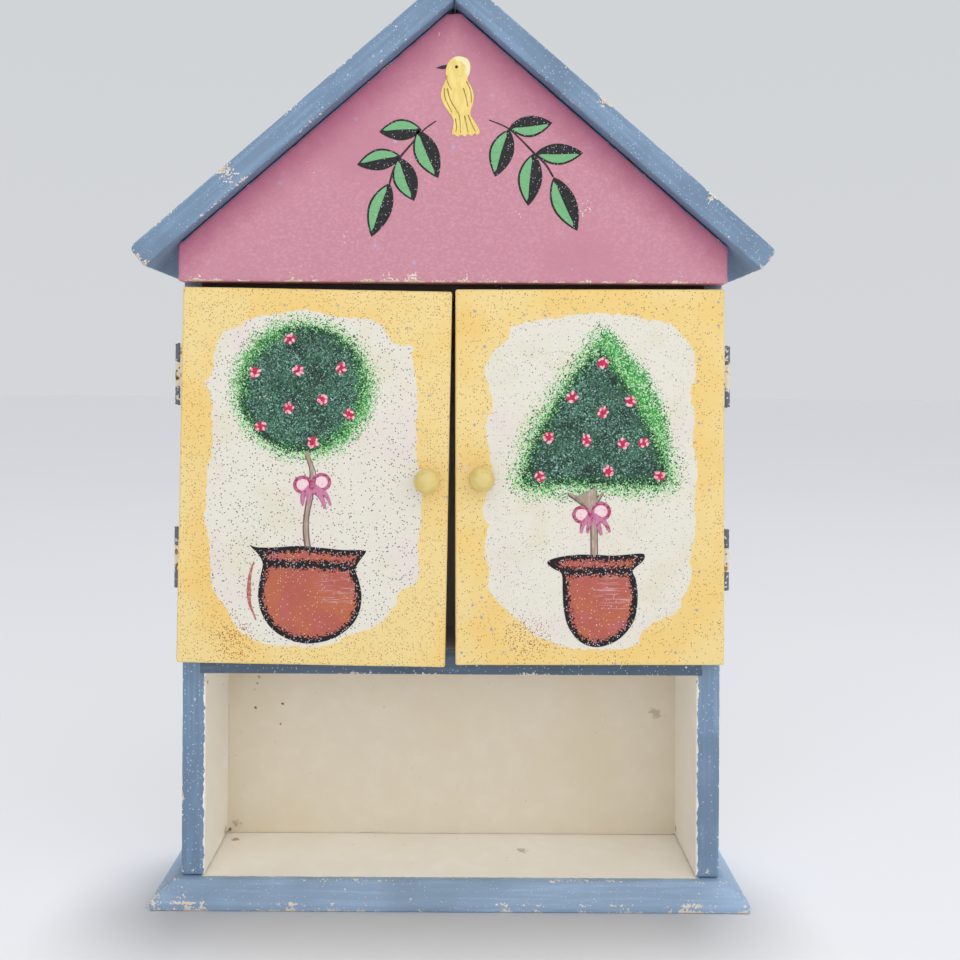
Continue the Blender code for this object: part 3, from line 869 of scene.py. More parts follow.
@dataclass(frozen=True)
class HardwareFinish:
    """Metal with the paint of the boards left on it."""

    name: str
    metal: Colour
    tarnish: Colour
    paint: Colour | None = None
    kept: float = 0.5
    roughness: float = 0.32

    def material(self) -> bpy.types.Material:
        """Build the material.

        Returns:
            The material.
        """

        graph = Graph(self.name)
        dull = graph.noise(2.6, 2.0, 3.0)
        colour = graph.mix(dull.ramp(0.42, 0.64), self.metal, self.tarnish)
        scuffs = graph.noise((0.25, 3.0, 0.25), 3.0, 3.0)
        metallic: Signal | float = 1.0 - dull.ramp(0.5, 0.8) * 0.3
        roughness = dull * 0.3 + scuffs * 0.12 + (self.roughness - 0.1)
        height = scuffs * 0.03 + dull * 0.02
        if self.paint:
            cover = (graph.noise(3.4, 5.0, 3.0) + (self.kept - 0.5)).ramp(0.46, 0.5)
            tone = graph.mix(graph.noise(1.4, 7.0).ramp(0.56, 0.66), self.paint, UNDERCOAT)
            colour = graph.mix(cover, colour, tone)
            metallic = metallic * (1 - cover)
            roughness = roughness + cover * 0.15
            height = height + cover * 0.06
        return graph.finish(colour, roughness, height, metallic, 0.5)


# ------------------------------------------------------------------ shaping tools


def all_geometry(shape: bmesh.types.BMesh) -> list:
    """Return every vertex, edge and face of a shape."""
    return shape.verts[:] + shape.edges[:] + shape.faces[:]


def cut_grid(shape: bmesh.types.BMesh, axis: Vector, pitch: float) -> None:
    """Cut a shape into slices of about one thickness.

    Args:
        shape: The shape to cut.
        axis: Unit direction across the slices.
        pitch: Thickness of a slice.
    """
    reach = [vert.co.dot(axis) for vert in shape.verts]
    low, high = min(reach), max(reach)
    count = max(1, round((high - low) / pitch))
    for step in range(1, count):
        bmesh.ops.bisect_plane(
            shape,
            geom=all_geometry(shape),
            dist=1e-6,
            plane_co=axis * (low + (high - low) * step / count),
            plane_no=axis,
        )


def prism(outline: Sequence[Point], front: float, back: float) -> bmesh.types.BMesh:
    """Return a solid whose outline lies in the XZ plane.

    Args:
        outline: (x, z) corners in order.
        front: The nearer Y.
        back: The farther Y.

    Returns:
        The closed shape.
    """
    shape = bmesh.new()
    face = shape.faces.new([shape.verts.new((x, front, z)) for x, z in outline])
    made = bmesh.ops.extrude_face_region(shape, geom=[face])["geom"]
    moved = [item for item in made if isinstance(item, bmesh.types.BMVert)]
    bmesh.ops.translate(shape, verts=moved, vec=(0.0, back - front, 0.0))
    bmesh.ops.recalc_face_normals(shape, faces=shape.faces)
    return shape


def planes_of(shape: bmesh.types.BMesh) -> tuple[np.ndarray, np.ndarray]:
    """Return the planes of a convex solid's faces.

    Args:
        shape: The solid.

    Returns:
        A point on each face, and each face's outward normal.
    """

    shape.normal_update()
    points = np.array([face.calc_center_median() for face in shape.faces])
    return points, np.array([face.normal for face in shape.faces])


def arris_distance(places: np.ndarray, planes: tuple[np.ndarray, np.ndarray]) -> np.ndarray:
    """Return how far points on a convex solid's surface are from its nearest arris.

    Args:
        places: Points as an N by 3 array.
        planes: The solid's faces.

    Returns:
        One distance for each point.
    """

    points, normals = planes
    depths = np.abs(np.einsum("ijk,jk->ij", places[:, None] - points[None], normals))
    return np.sort(depths, axis=1)[:, 1]


def places_of(mesh: bpy.types.Mesh) -> np.ndarray:
    """Return a mesh's vertex places.

    Args:
        mesh: The mesh.

    Returns:
        An N by 3 array in metres.
    """

    places = np.empty(len(mesh.vertices) * 3, np.float32)
    mesh.vertices.foreach_get("co", places)
    return places.reshape(-1, 3).astype(float)


def write_attribute(mesh: bpy.types.Mesh, name: str, values: np.ndarray) -> None:
    """Store one float for each vertex."""
    layer = mesh.attributes.new(name, "FLOAT", "POINT")
    layer.data.foreach_set("value", values.astype(np.float32))


def inside_distance(places: np.ndarray, outline: Sequence[Point]) -> np.ndarray:
    """Return the signed distance to a closed outline.

    Args:
        places: Points as an N by 2 array.
        outline: The outline's corners in order.

    Returns:
        One distance for each point, positive inside.
    """
    ring = np.array(outline, float)
    best = np.full(len(places), 1e9)
    inside = np.zeros(len(places), bool)
    for start, end in zip(ring, np.roll(ring, -1, axis=0)):
        along = end - start
        offset = places - start
        share = np.clip(offset @ along / max(along @ along, 1e-12), 0, 1)
        gap = offset - share[:, None] * along
        best = np.minimum(best, np.hypot(gap[:, 0], gap[:, 1]))
        if start[1] != end[1]:
            crossing = start[0] + offset[:, 1] / along[1] * along[0]
            spans = (start[1] > places[:, 1]) != (end[1] > places[:, 1])
            inside ^= spans & (places[:, 0] < crossing)
    return np.where(inside, best, -best)


def flowing(points: Sequence[Point], steps: int = 4, closed: bool = True) -> list[Point]:
    """Return a smooth line through given points.

    Args:
        points: The points in order.
        steps: New points for each one given.
        closed: Whether the line comes back to its start.

    Returns:
        The smooth line's points.
    """
    count = len(points)
    line: list[Point] = []
    for index in range(count if closed else count - 1):
        if closed:
            a, b, c, d = (Vector(points[(index + shift) % count]) for shift in (-1, 0, 1, 2))
        else:
            picks = (max(index - 1, 0), index, index + 1, min(index + 2, count - 1))
            a, b, c, d = (Vector(points[pick]) for pick in picks)
        for step in range(steps):
            t = step / steps
            spot = 0.5 * (
                2 * b + (c - a) * t + (2 * a - 5 * b + 4 * c - d) * t**2 + (3 * b - a - 3 * c + d) * t**3
            )
            line.append((spot.x, spot.y))
    if not closed:
        line.append(tuple(points[-1]))
    return line


def fit_to_node(mesh: bpy.types.Mesh, node: str) -> bpy.types.Mesh:
    """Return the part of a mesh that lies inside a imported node, with its grooves and holes.

    Args:
        mesh: The fine board.
        node: The node's name.

    Returns:
        A new mesh.
    """
    tool_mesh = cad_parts[node].data.copy()
    shape = bmesh.new()
    shape.from_mesh(tool_mesh)
    bmesh.ops.remove_doubles(shape, verts=shape.verts, dist=1e-6)
    shape.to_mesh(tool_mesh)
    shape.free()
    helpers = [bpy.data.objects.new("fit_tool", tool_mesh), bpy.data.objects.new("fit", mesh)]
    for helper in helpers:
        bpy.context.scene.collection.objects.link(helper)
    fit = helpers[1].modifiers.new("Fit", "BOOLEAN")
    fit.operation = "INTERSECT"
    fit.solver = "EXACT"
    fit.object = helpers[0]
    view = bpy.context.evaluated_depsgraph_get()
    fitted = bpy.data.meshes.new_from_object(helpers[1].evaluated_get(view))
    for helper in helpers:
        bpy.data.objects.remove(helper, do_unlink=True)
    bpy.data.meshes.remove(tool_mesh)
    fitted.materials.clear()
    return fitted


def shade(mesh: bpy.types.Mesh, crease: float = math.radians(38)) -> None:
    """Smooth a mesh's shading, except across its sharp edges.

    Args:
        mesh: The mesh.
        crease: The smallest angle of a sharp edge.
    """

    shape = bmesh.new()
    shape.from_mesh(mesh)
    for face in shape.faces:
        face.smooth = True
    for edge in shape.edges:
        edge.smooth = edge.calc_face_angle(0.0) < crease
    shape.to_mesh(mesh)
    shape.free()


def add_piece(
    name: str,
    mesh: bpy.types.Mesh,
    material: bpy.types.Material,
    body: str,
    slot: str,
    *nodes: str,
) -> bpy.types.Object:
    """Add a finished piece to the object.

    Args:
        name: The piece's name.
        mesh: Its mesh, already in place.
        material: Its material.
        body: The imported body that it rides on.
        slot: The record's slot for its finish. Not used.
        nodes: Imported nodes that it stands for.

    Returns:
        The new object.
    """
    mesh.materials.clear()
    mesh.materials.append(material)
    piece = bpy.data.objects.new(name, mesh)
    bpy.context.scene.collection.objects.link(piece)
    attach(piece, body)
    if nodes:
        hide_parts(*nodes)
    LOG.info("%s: %d faces on %s", name, len(mesh.polygons), body)
    return piece


# ------------------------------------------------------------------ boards


@dataclass
class Board:
    """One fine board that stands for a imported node."""

    node: str
    name: str
    slot: str
    finish: BoardFinish | DoorFinish
    body: str = "cabinet"
    pitch: float = 2.2 * MM
    arris: float = 0.8 * MM
    dents: float = 0.3 * MM
    fitted: bool = False
    growth: tuple[Triple, Triple] = ((0.0, 0.0, 0.0), (0.0, 0.0, 0.0))

    def blank(self) -> bmesh.types.BMesh:
        """Build the board's plain solid, a skin smaller than its node.

        Returns:
            The closed shape.
        """

        low, high = self.grown_box()
        size = [high[axis] - low[axis] - 2 * SKIN for axis in range(3)]
        place = Matrix.Translation((low + high) / 2) @ Matrix.Diagonal((*size, 1.0))
        shape = bmesh.new()
        bmesh.ops.create_cube(shape, size=1.0, matrix=place)
        return shape

    def grown_box(self) -> tuple[Vector, Vector]:
        """Grow the node's box into the gaps that paint has closed.

        Returns:
            Its lowest and highest corners.
        """

        low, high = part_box(self.node)
        down, up = self.growth
        return low - Vector(down), high + Vector(up)

    def axes(self) -> tuple[Vector, ...]:
        """Return the directions that the board is gridded along."""
        return Vector((0, 0, 1)), Vector((1, 0, 0)), Vector((0, 1, 0))

    def weather(self, shape: bmesh.types.BMesh, planes: tuple[np.ndarray, np.ndarray]) -> None:
        """Push the surface in a little: long waves on the faces and dents at the arrises.

        Args:
            shape: The gridded board.
            planes: The plain solid's faces.
        """
        shape.normal_update()
        places = np.array([vert.co for vert in shape.verts])
        edges = np.clip(1 - arris_distance(places, planes) / (1.8 * MM), 0, 1)
        offset = Vector((len(self.name) * 1.37, 0.0, 0.0))
        for vert, edge in zip(shape.verts, edges):
            wave = 0.5 + 0.5 * noise.noise(vert.co * 55 + offset)
            dent = max(0.0, noise.noise(vert.co * 330 + offset) - 0.12) * edge
            vert.co -= vert.normal * (wave * 0.07 * MM + dent * self.dents * 2)

    def build(self) -> bpy.types.Object:
        """Model the board and dress it.

        Returns:
            Its piece.
        """

        shape = self.blank()
        planes = planes_of(shape)
        sharp = [edge for edge in shape.edges if edge.calc_face_angle(0.0) > math.radians(30)]
        bmesh.ops.bevel(
            shape,
            geom=sharp,
            offset=self.arris,
            segments=3,
            profile=0.5,
            affect="EDGES",
            material=-1,
            clamp_overlap=True,
        )
        for axis in self.axes():
            cut_grid(shape, axis, self.pitch)
        self.weather(shape, planes)
        mesh = bpy.data.meshes.new(self.name)
        shape.to_mesh(mesh)
        shape.free()
        if self.fitted:
            mesh = fit_to_node(mesh, self.node)
            mesh.name = self.name
        shade(mesh)
        write_attribute(mesh, "arris", arris_distance(places_of(mesh), planes) / MM)
        self.paint(mesh)
        return add_piece(self.name, mesh, self.finish.material(), self.body, self.slot, self.node)

    def paint(self, mesh: bpy.types.Mesh) -> None:
        """Store whatever the board's finish reads from its mesh."""


@dataclass
class SideBoard(Board):
    """A side panel, its top sloped under the roof."""

    side: Side = Side.LEFT

    def blank(self) -> bmesh.types.BMesh:
        """Build the panel's plain solid.

        Returns:
            The closed shape.
        """

        low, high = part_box(self.node)
        outer, inner = (low.x, high.x) if self.side is Side.LEFT else (high.x, low.x)
        hand = self.side.value
        outer, inner = outer - hand * SKIN, inner + hand * SKIN
        drop = abs(outer - inner) * math.tan(ROOF_PITCH)
        top = high.z - 2 * SKIN
        outline = [(outer, low.z + SKIN), (inner, low.z + SKIN), (inner, top), (outer, top - drop)]
        return prism(outline, low.y + SKIN, high.y - SKIN)


@dataclass
class HouseBoard(Board):
    """A board with a house-shaped outline that fits below the roof."""

    def blank(self) -> bmesh.types.BMesh:
        """Build the board's plain solid.

        Returns:
            The closed shape.
        """

        low, high = self.grown_box()
        half, peak = high.x - SKIN, PEAK_HALF
        top, foot = high.z - 2 * SKIN, low.z + SKIN
        shoulder = top - (half - peak) * math.tan(ROOF_PITCH)
        outline = [(-half, foot), (half, foot), (half, shoulder)]
        outline += [(peak, top), (-peak, top), (-half, shoulder)]
        return prism(outline, low.y + SKIN, high.y - SKIN)


@dataclass
class BaseBoard(Board):
    """The base, its top bevelled along the front and both ends."""

    lip: float = 3.6 * MM
    flat_edge: float = 2.5 * MM
    overhang: float = 10.6 * MM

    def blank(self) -> bmesh.types.BMesh:
        """Build the base's plain solid.

        Returns:
            The closed shape.
        """

        shape = super().blank()
        low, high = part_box(self.node)
        slope = Vector((0.0, high.z - low.z - self.lip, self.overhang - self.flat_edge)).normalized()
        cuts = (
            (Vector((0.0, low.y + SKIN, self.lip - SKIN)), Vector((0.0, -slope.y, slope.z))),
            (Vector((high.x - SKIN, 0.0, self.lip - SKIN)), Vector((slope.y, 0.0, slope.z))),
            (Vector((low.x + SKIN, 0.0, self.lip - SKIN)), Vector((-slope.y, 0.0, slope.z))),
        )
        for point, normal in cuts:
            bmesh.ops.bisect_plane(
                shape,
                geom=all_geometry(shape),
                plane_co=point,
                plane_no=normal,
                clear_outer=True,
            )
            bmesh.ops.remove_doubles(shape, verts=shape.verts, dist=1e-5)
            bmesh.ops.holes_fill(shape, edges=[edge for edge in shape.edges if edge.is_boundary])
        bmesh.ops.recalc_face_normals(shape, faces=shape.faces)
        return shape


@dataclass
class RoofBoard(Board):
    """A roof board: mitred at the ridge, square at the eave with its upper corner rounded."""

    side: Side = Side.LEFT
    thickness: float = 10.0 * MM
    eave_round: float = 3.0 * MM

    def axes(self) -> tuple[Vector, ...]:
        """Return the directions along the slope, through the board and along the ridge."""
        turn = Matrix.Rotation(self.side.value * ROOF_PITCH, 3, "Y")
        return turn @ Vector((1, 0, 0)), Vector((0, 1, 0)), turn @ Vector((0, 0, 1))

    def blank(self) -> bmesh.types.BMesh:
        """Build the board's plain solid with its eave corner rounded.

        Returns:
            The closed shape.
        """

        low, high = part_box(self.node)
        hand = self.side.value
        slope, upright = math.tan(ROOF_PITCH), math.cos(ROOF_PITCH)
        ridge_x = min(abs(low.x), abs(high.x)) + SKIN
        apex = high.z - self.thickness / upright
        eave_x = ridge_x + (apex - low.z) / slope
        out = Vector((upright, -math.sin(ROOF_PITCH)))
        over = Vector((math.sin(ROOF_PITCH), upright)) * (self.thickness - SKIN)
        under = Vector((ridge_x, apex + SKIN / upright))
        eave = Vector((eave_x, low.z + SKIN / upright)) - out * SKIN
        ridge = under - Vector((CLOSED / 2, 0.0)) if self.side is Side.LEFT else under
        corners = [ridge, eave, eave + over, ridge + Vector((0, (self.thickness - SKIN) / upright))]
        outline = [(hand * corner.x, corner.y - SKIN) for corner in corners]
        shape = prism(outline, low.y + SKIN, high.y - SKIN)
        tip = hand * (eave + over).x
        corner = [
            edge for edge in shape.edges if all(abs(vert.co.x - tip) < 1e-5 for vert in edge.verts)
        ]
        bmesh.ops.bevel(
            shape,
            geom=corner,
            offset=self.eave_round,
            segments=6,
            profile=0.5,
            affect="EDGES",
            material=-1,
        )
        return shape


@dataclass
class DoorBoard(Board):
    """A door that sags a little on its hinges, with a tree painted on its cream patch."""

    side: Side = Side.LEFT
    width: float = 110.7 * MM
    height: float = 154.6 * MM
    thickness: float = 10.0 * MM
    tilt: float = 0.0
    patch: Sequence[Point] = ()
    heart: Callable[[np.ndarray], np.ndarray] | None = None
    foliage: Callable[[np.ndarray], np.ndarray] | None = None
    glow: Callable[[np.ndarray], np.ndarray] | None = None
    origin: Point = (0.0, 0.0)

    def blank(self) -> bmesh.types.BMesh:
        """Build the door's plain solid, turned by its sag.

        Returns:
            The closed shape.
        """

        low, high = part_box(self.node)
        size = (self.width - 2 * SKIN, self.thickness - 2 * SKIN, self.height - 2 * SKIN)
        sag = Matrix.Rotation(-self.side.value * self.tilt, 4, "Y")
        place = Matrix.Translation((low + high) / 2) @ sag @ Matrix.Diagonal((*size, 1.0))
        shape = bmesh.new()
        bmesh.ops.create_cube(shape, size=1.0, matrix=place)
        return shape

    def axes(self) -> tuple[Vector, ...]:
        """Return the sagging door's own directions."""
        turn = Matrix.Rotation(-self.side.value * self.tilt, 3, "Y")
        return turn @ Vector((0, 0, 1)), turn @ Vector((1, 0, 0)), Vector((0, 1, 0))

    def paint(self, mesh: bpy.types.Mesh) -> None:
        """Store the patch, the tree's depth and its bright side on the front face.

        Args:
            mesh: The finished door.
        """

        places = places_of(mesh)
        flat = (places[:, [0, 2]] - np.array(self.origin)) / MM
        front = places[:, 1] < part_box(self.node)[0].y + 1.2 * MM
        fields = {
            "patch": inside_distance(flat, flowing(self.patch)),
            "heart": self.heart(flat),
            "leafage": self.foliage(flat),
            "glow": self.glow(flat),
        }
        for name, values in fields.items():
            away = 0.0 if name == "glow" else NOWHERE
            write_attribute(mesh, name, np.where(front, values, away))


@dataclass
class Knob:
    """A turned mushroom knob with a soft shoulder and a short neck."""

    side: Side
    finish: FilmFinish
    rings: int = 14
    steps: int = 48

    def build(self) -> bpy.types.Object:
        """Turn the knob and dress it.

        Returns:
            Its piece.
        """

        node = f"knob_{self.side.label}"
        low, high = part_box(node)
        radius = (high.x - low.x) / 2 - SKIN
        length = high.y - low.y - SKIN
        centre_x, centre_z = (low.x + high.x) / 2, (low.z + high.z) / 2
        swell = length - radius * 0.8
        profile = [
            (radius * math.sin(turn), length - radius * 0.8 * (1 - math.cos(turn)))
            for turn in (math.pi / 2 * ring / self.rings for ring in range(self.rings + 1))
        ]
        profile += [(radius * 0.99, swell - radius * 0.07), (radius * 0.93, swell - radius * 0.17)]
        profile += [(radius * 0.8, swell - radius * 0.32), (radius * 0.66, swell - radius * 0.44)]
        profile += [(radius * 0.555, swell - radius * 0.58), (radius * 0.53, length * 0.25)]
        profile += [(radius * 0.56, length * 0.1), (radius * 0.62, length * 0.03), (radius * 0.6, 0.0)]
        profile += [(radius * 0.26, 0.0)]
        shape = bmesh.new()
        points = [
            shape.verts.new((centre_x + reach, high.y - rise, centre_z)) for reach, rise in profile
        ]
        line = [shape.edges.new(pair) for pair in zip(points, points[1:])]
        bmesh.ops.spin(
            shape,
            geom=points + line,
            cent=(centre_x, 0.0, centre_z),
            axis=(0.0, 1.0, 0.0),
            angle=math.tau,
            steps=self.steps,
            use_merge=True,
        )
        bmesh.ops.remove_doubles(shape, verts=shape.verts, dist=1e-6)
        bmesh.ops.holes_fill(shape, edges=[edge for edge in shape.edges if edge.is_boundary])
        bmesh.ops.recalc_face_normals(shape, faces=shape.faces)
        mesh = bpy.data.meshes.new(f"turned_knob_{self.side.label}")
        shape.to_mesh(mesh)
        shape.free()
        shade(mesh)
        body = f"{self.side.label}_door"
        return add_piece(mesh.name, mesh, self.finish.material(), body, "knob_paint", node)


# ------------------------------------------------------------------ painted pictures


@dataclass(frozen=True)
class Stroke:
    """One brush stroke: its points and its width at each end, in millimetres."""

    points: Sequence[Point]
    start: float
    end: float
    closed: bool = False


@dataclass(frozen=True)
class Canvas:
    """A flat painted face: its body, its slot, its Y and the point that pictures are laid out from."""

    body: str
    slot: str
    face: float
    origin: Point

    def place(self, point: Point, lift: float = 0.0) -> Vector:
        """Return the place of a picture's point, standing proud by a lift."""
        return Vector(
            (self.origin[0] + point[0] * MM, self.face - lift, self.origin[1] + point[1] * MM)
        )

    def film(
        self,
        name: str,
        outlines: Sequence[Sequence[Point]],
        material: bpy.types.Material,
        lift: float = 0.1 * MM,
        pitch: float | None = None,
        **fields: Callable[[np.ndarray], np.ndarray],
    ) -> bpy.types.Object:
        """Lay one or more flat shapes of paint.

        Args:
            name: The piece's name.
            outlines: Closed outlines in millimetres.
            material: The paint.
            lift: How far the paint stands proud.
            pitch: Grid size where the paint reads an attribute.
            fields: Attributes, each computed from the points in millimetres.

        Returns:
            The piece.
        """
        shape = bmesh.new()
        for outline in outlines:
            verts = [shape.verts.new(self.place(point, -0.25 * MM)) for point in outline]
            shape.faces.new(verts)
        shape.normal_update()
        bmesh.ops.triangulate(shape, faces=shape.faces)
        if pitch:
            cut_grid(shape, Vector((0, 0, 1)), pitch)
            cut_grid(shape, Vector((1, 0, 0)), pitch)
        made = bmesh.ops.extrude_face_region(shape, geom=shape.faces[:])["geom"]
        moved = [item for item in made if isinstance(item, bmesh.types.BMVert)]
        bmesh.ops.translate(shape, verts=moved, vec=(0.0, -lift - 0.25 * MM, 0.0))
        bmesh.ops.recalc_face_normals(shape, faces=shape.faces)
        mesh = bpy.data.meshes.new(name)
        shape.to_mesh(mesh)
        shape.free()
        flat = (places_of(mesh)[:, [0, 2]] - np.array(self.origin)) / MM
        for field_name, compute in fields.items():
            write_attribute(mesh, field_name, compute(flat))
        return add_piece(name, mesh, material, self.body, self.slot)

    def strokes(
        self,
        name: str,
        strokes: Sequence[Stroke],
        material: bpy.types.Material,
        lift: float = 0.0,
        relief: float = 0.09,
    ) -> bpy.types.Object:
        """Lay brush strokes with a low rounded section.

        Args:
            name: The piece's name.
            strokes: The strokes.
            material: The paint.
            lift: How far the strokes' middle stands proud of the face.
            relief: Height of a stroke as a share of its half width.

        Returns:
            The piece.
        """
        curve = bpy.data.curves.new(name, "CURVE")
        curve.dimensions = "3D"
        curve.bevel_depth = MM
        curve.bevel_resolution = 2
        curve.use_fill_caps = True
        for stroke in strokes:
            line = flowing(stroke.points, 5, stroke.closed)
            spline = curve.splines.new("POLY")
            spline.points.add(len(line) - 1)
            spline.use_cyclic_u = stroke.closed
            for index, (point, spot) in enumerate(zip(line, spline.points)):
                share = index / max(len(line) - 1, 1)
                spot.co = (*self.place(point), 1.0)
                spot.radius = (stroke.start + (stroke.end - stroke.start) * share) / 2
        drawn = bpy.data.objects.new(name + "_line", curve)
        bpy.context.scene.collection.objects.link(drawn)
        view = bpy.context.evaluated_depsgraph_get()
        mesh = bpy.data.meshes.new_from_object(drawn.evaluated_get(view))
        bpy.data.objects.remove(drawn, do_unlink=True)
        shape = bmesh.new()
        shape.from_mesh(mesh)
        bmesh.ops.remove_doubles(shape, verts=shape.verts, dist=1e-7)
        flatten = Matrix.Translation((0.0, self.face - lift, 0.0))
        flatten = flatten @ Matrix.Diagonal((1.0, relief, 1.0, 1.0))
        flatten = flatten @ Matrix.Translation((0.0, -self.face, 0.0))
        bmesh.ops.transform(shape, matrix=flatten, verts=shape.verts)
        bmesh.ops.recalc_face_normals(shape, faces=shape.faces)
        shape.to_mesh(mesh)
        shape.free()
        mesh.name = name
        return add_piece(name, mesh, material, self.body, self.slot)

    def dabs(
        self,
        name: str,
        dabs: Sequence[tuple[Point, float, float]],
        material: bpy.types.Material,
        lift: float = 0.0,
        height: float = 0.16,
    ) -> bpy.types.Object:
        """Lay round dabs of paint.

        Args:
            name: The piece's name.
            dabs: Middle, width and length of each dab in millimetres.
            material: The paint.
            lift: How far the dabs' middle stands proud of the face.
            height: How far a dab rises, in millimetres.

        Returns:
            The piece.
        """
        shape = bmesh.new()
        for middle, width, length in dabs:
            size = Matrix.Diagonal((width / 2 * MM, height * MM, length / 2 * MM, 1.0))
            turn = Matrix.Rotation(middle[0] * 1.7 + middle[1], 4, "Y")
            place = Matrix.Translation(self.place(middle, lift)) @ turn @ size
            bmesh.ops.create_uvsphere(shape, u_segments=10, v_segments=6, radius=1.0, matrix=place)
        mesh = bpy.data.meshes.new(name)
        shape.to_mesh(mesh)
        shape.free()
        shade(mesh)
        return add_piece(name, mesh, material, self.body, self.slot)


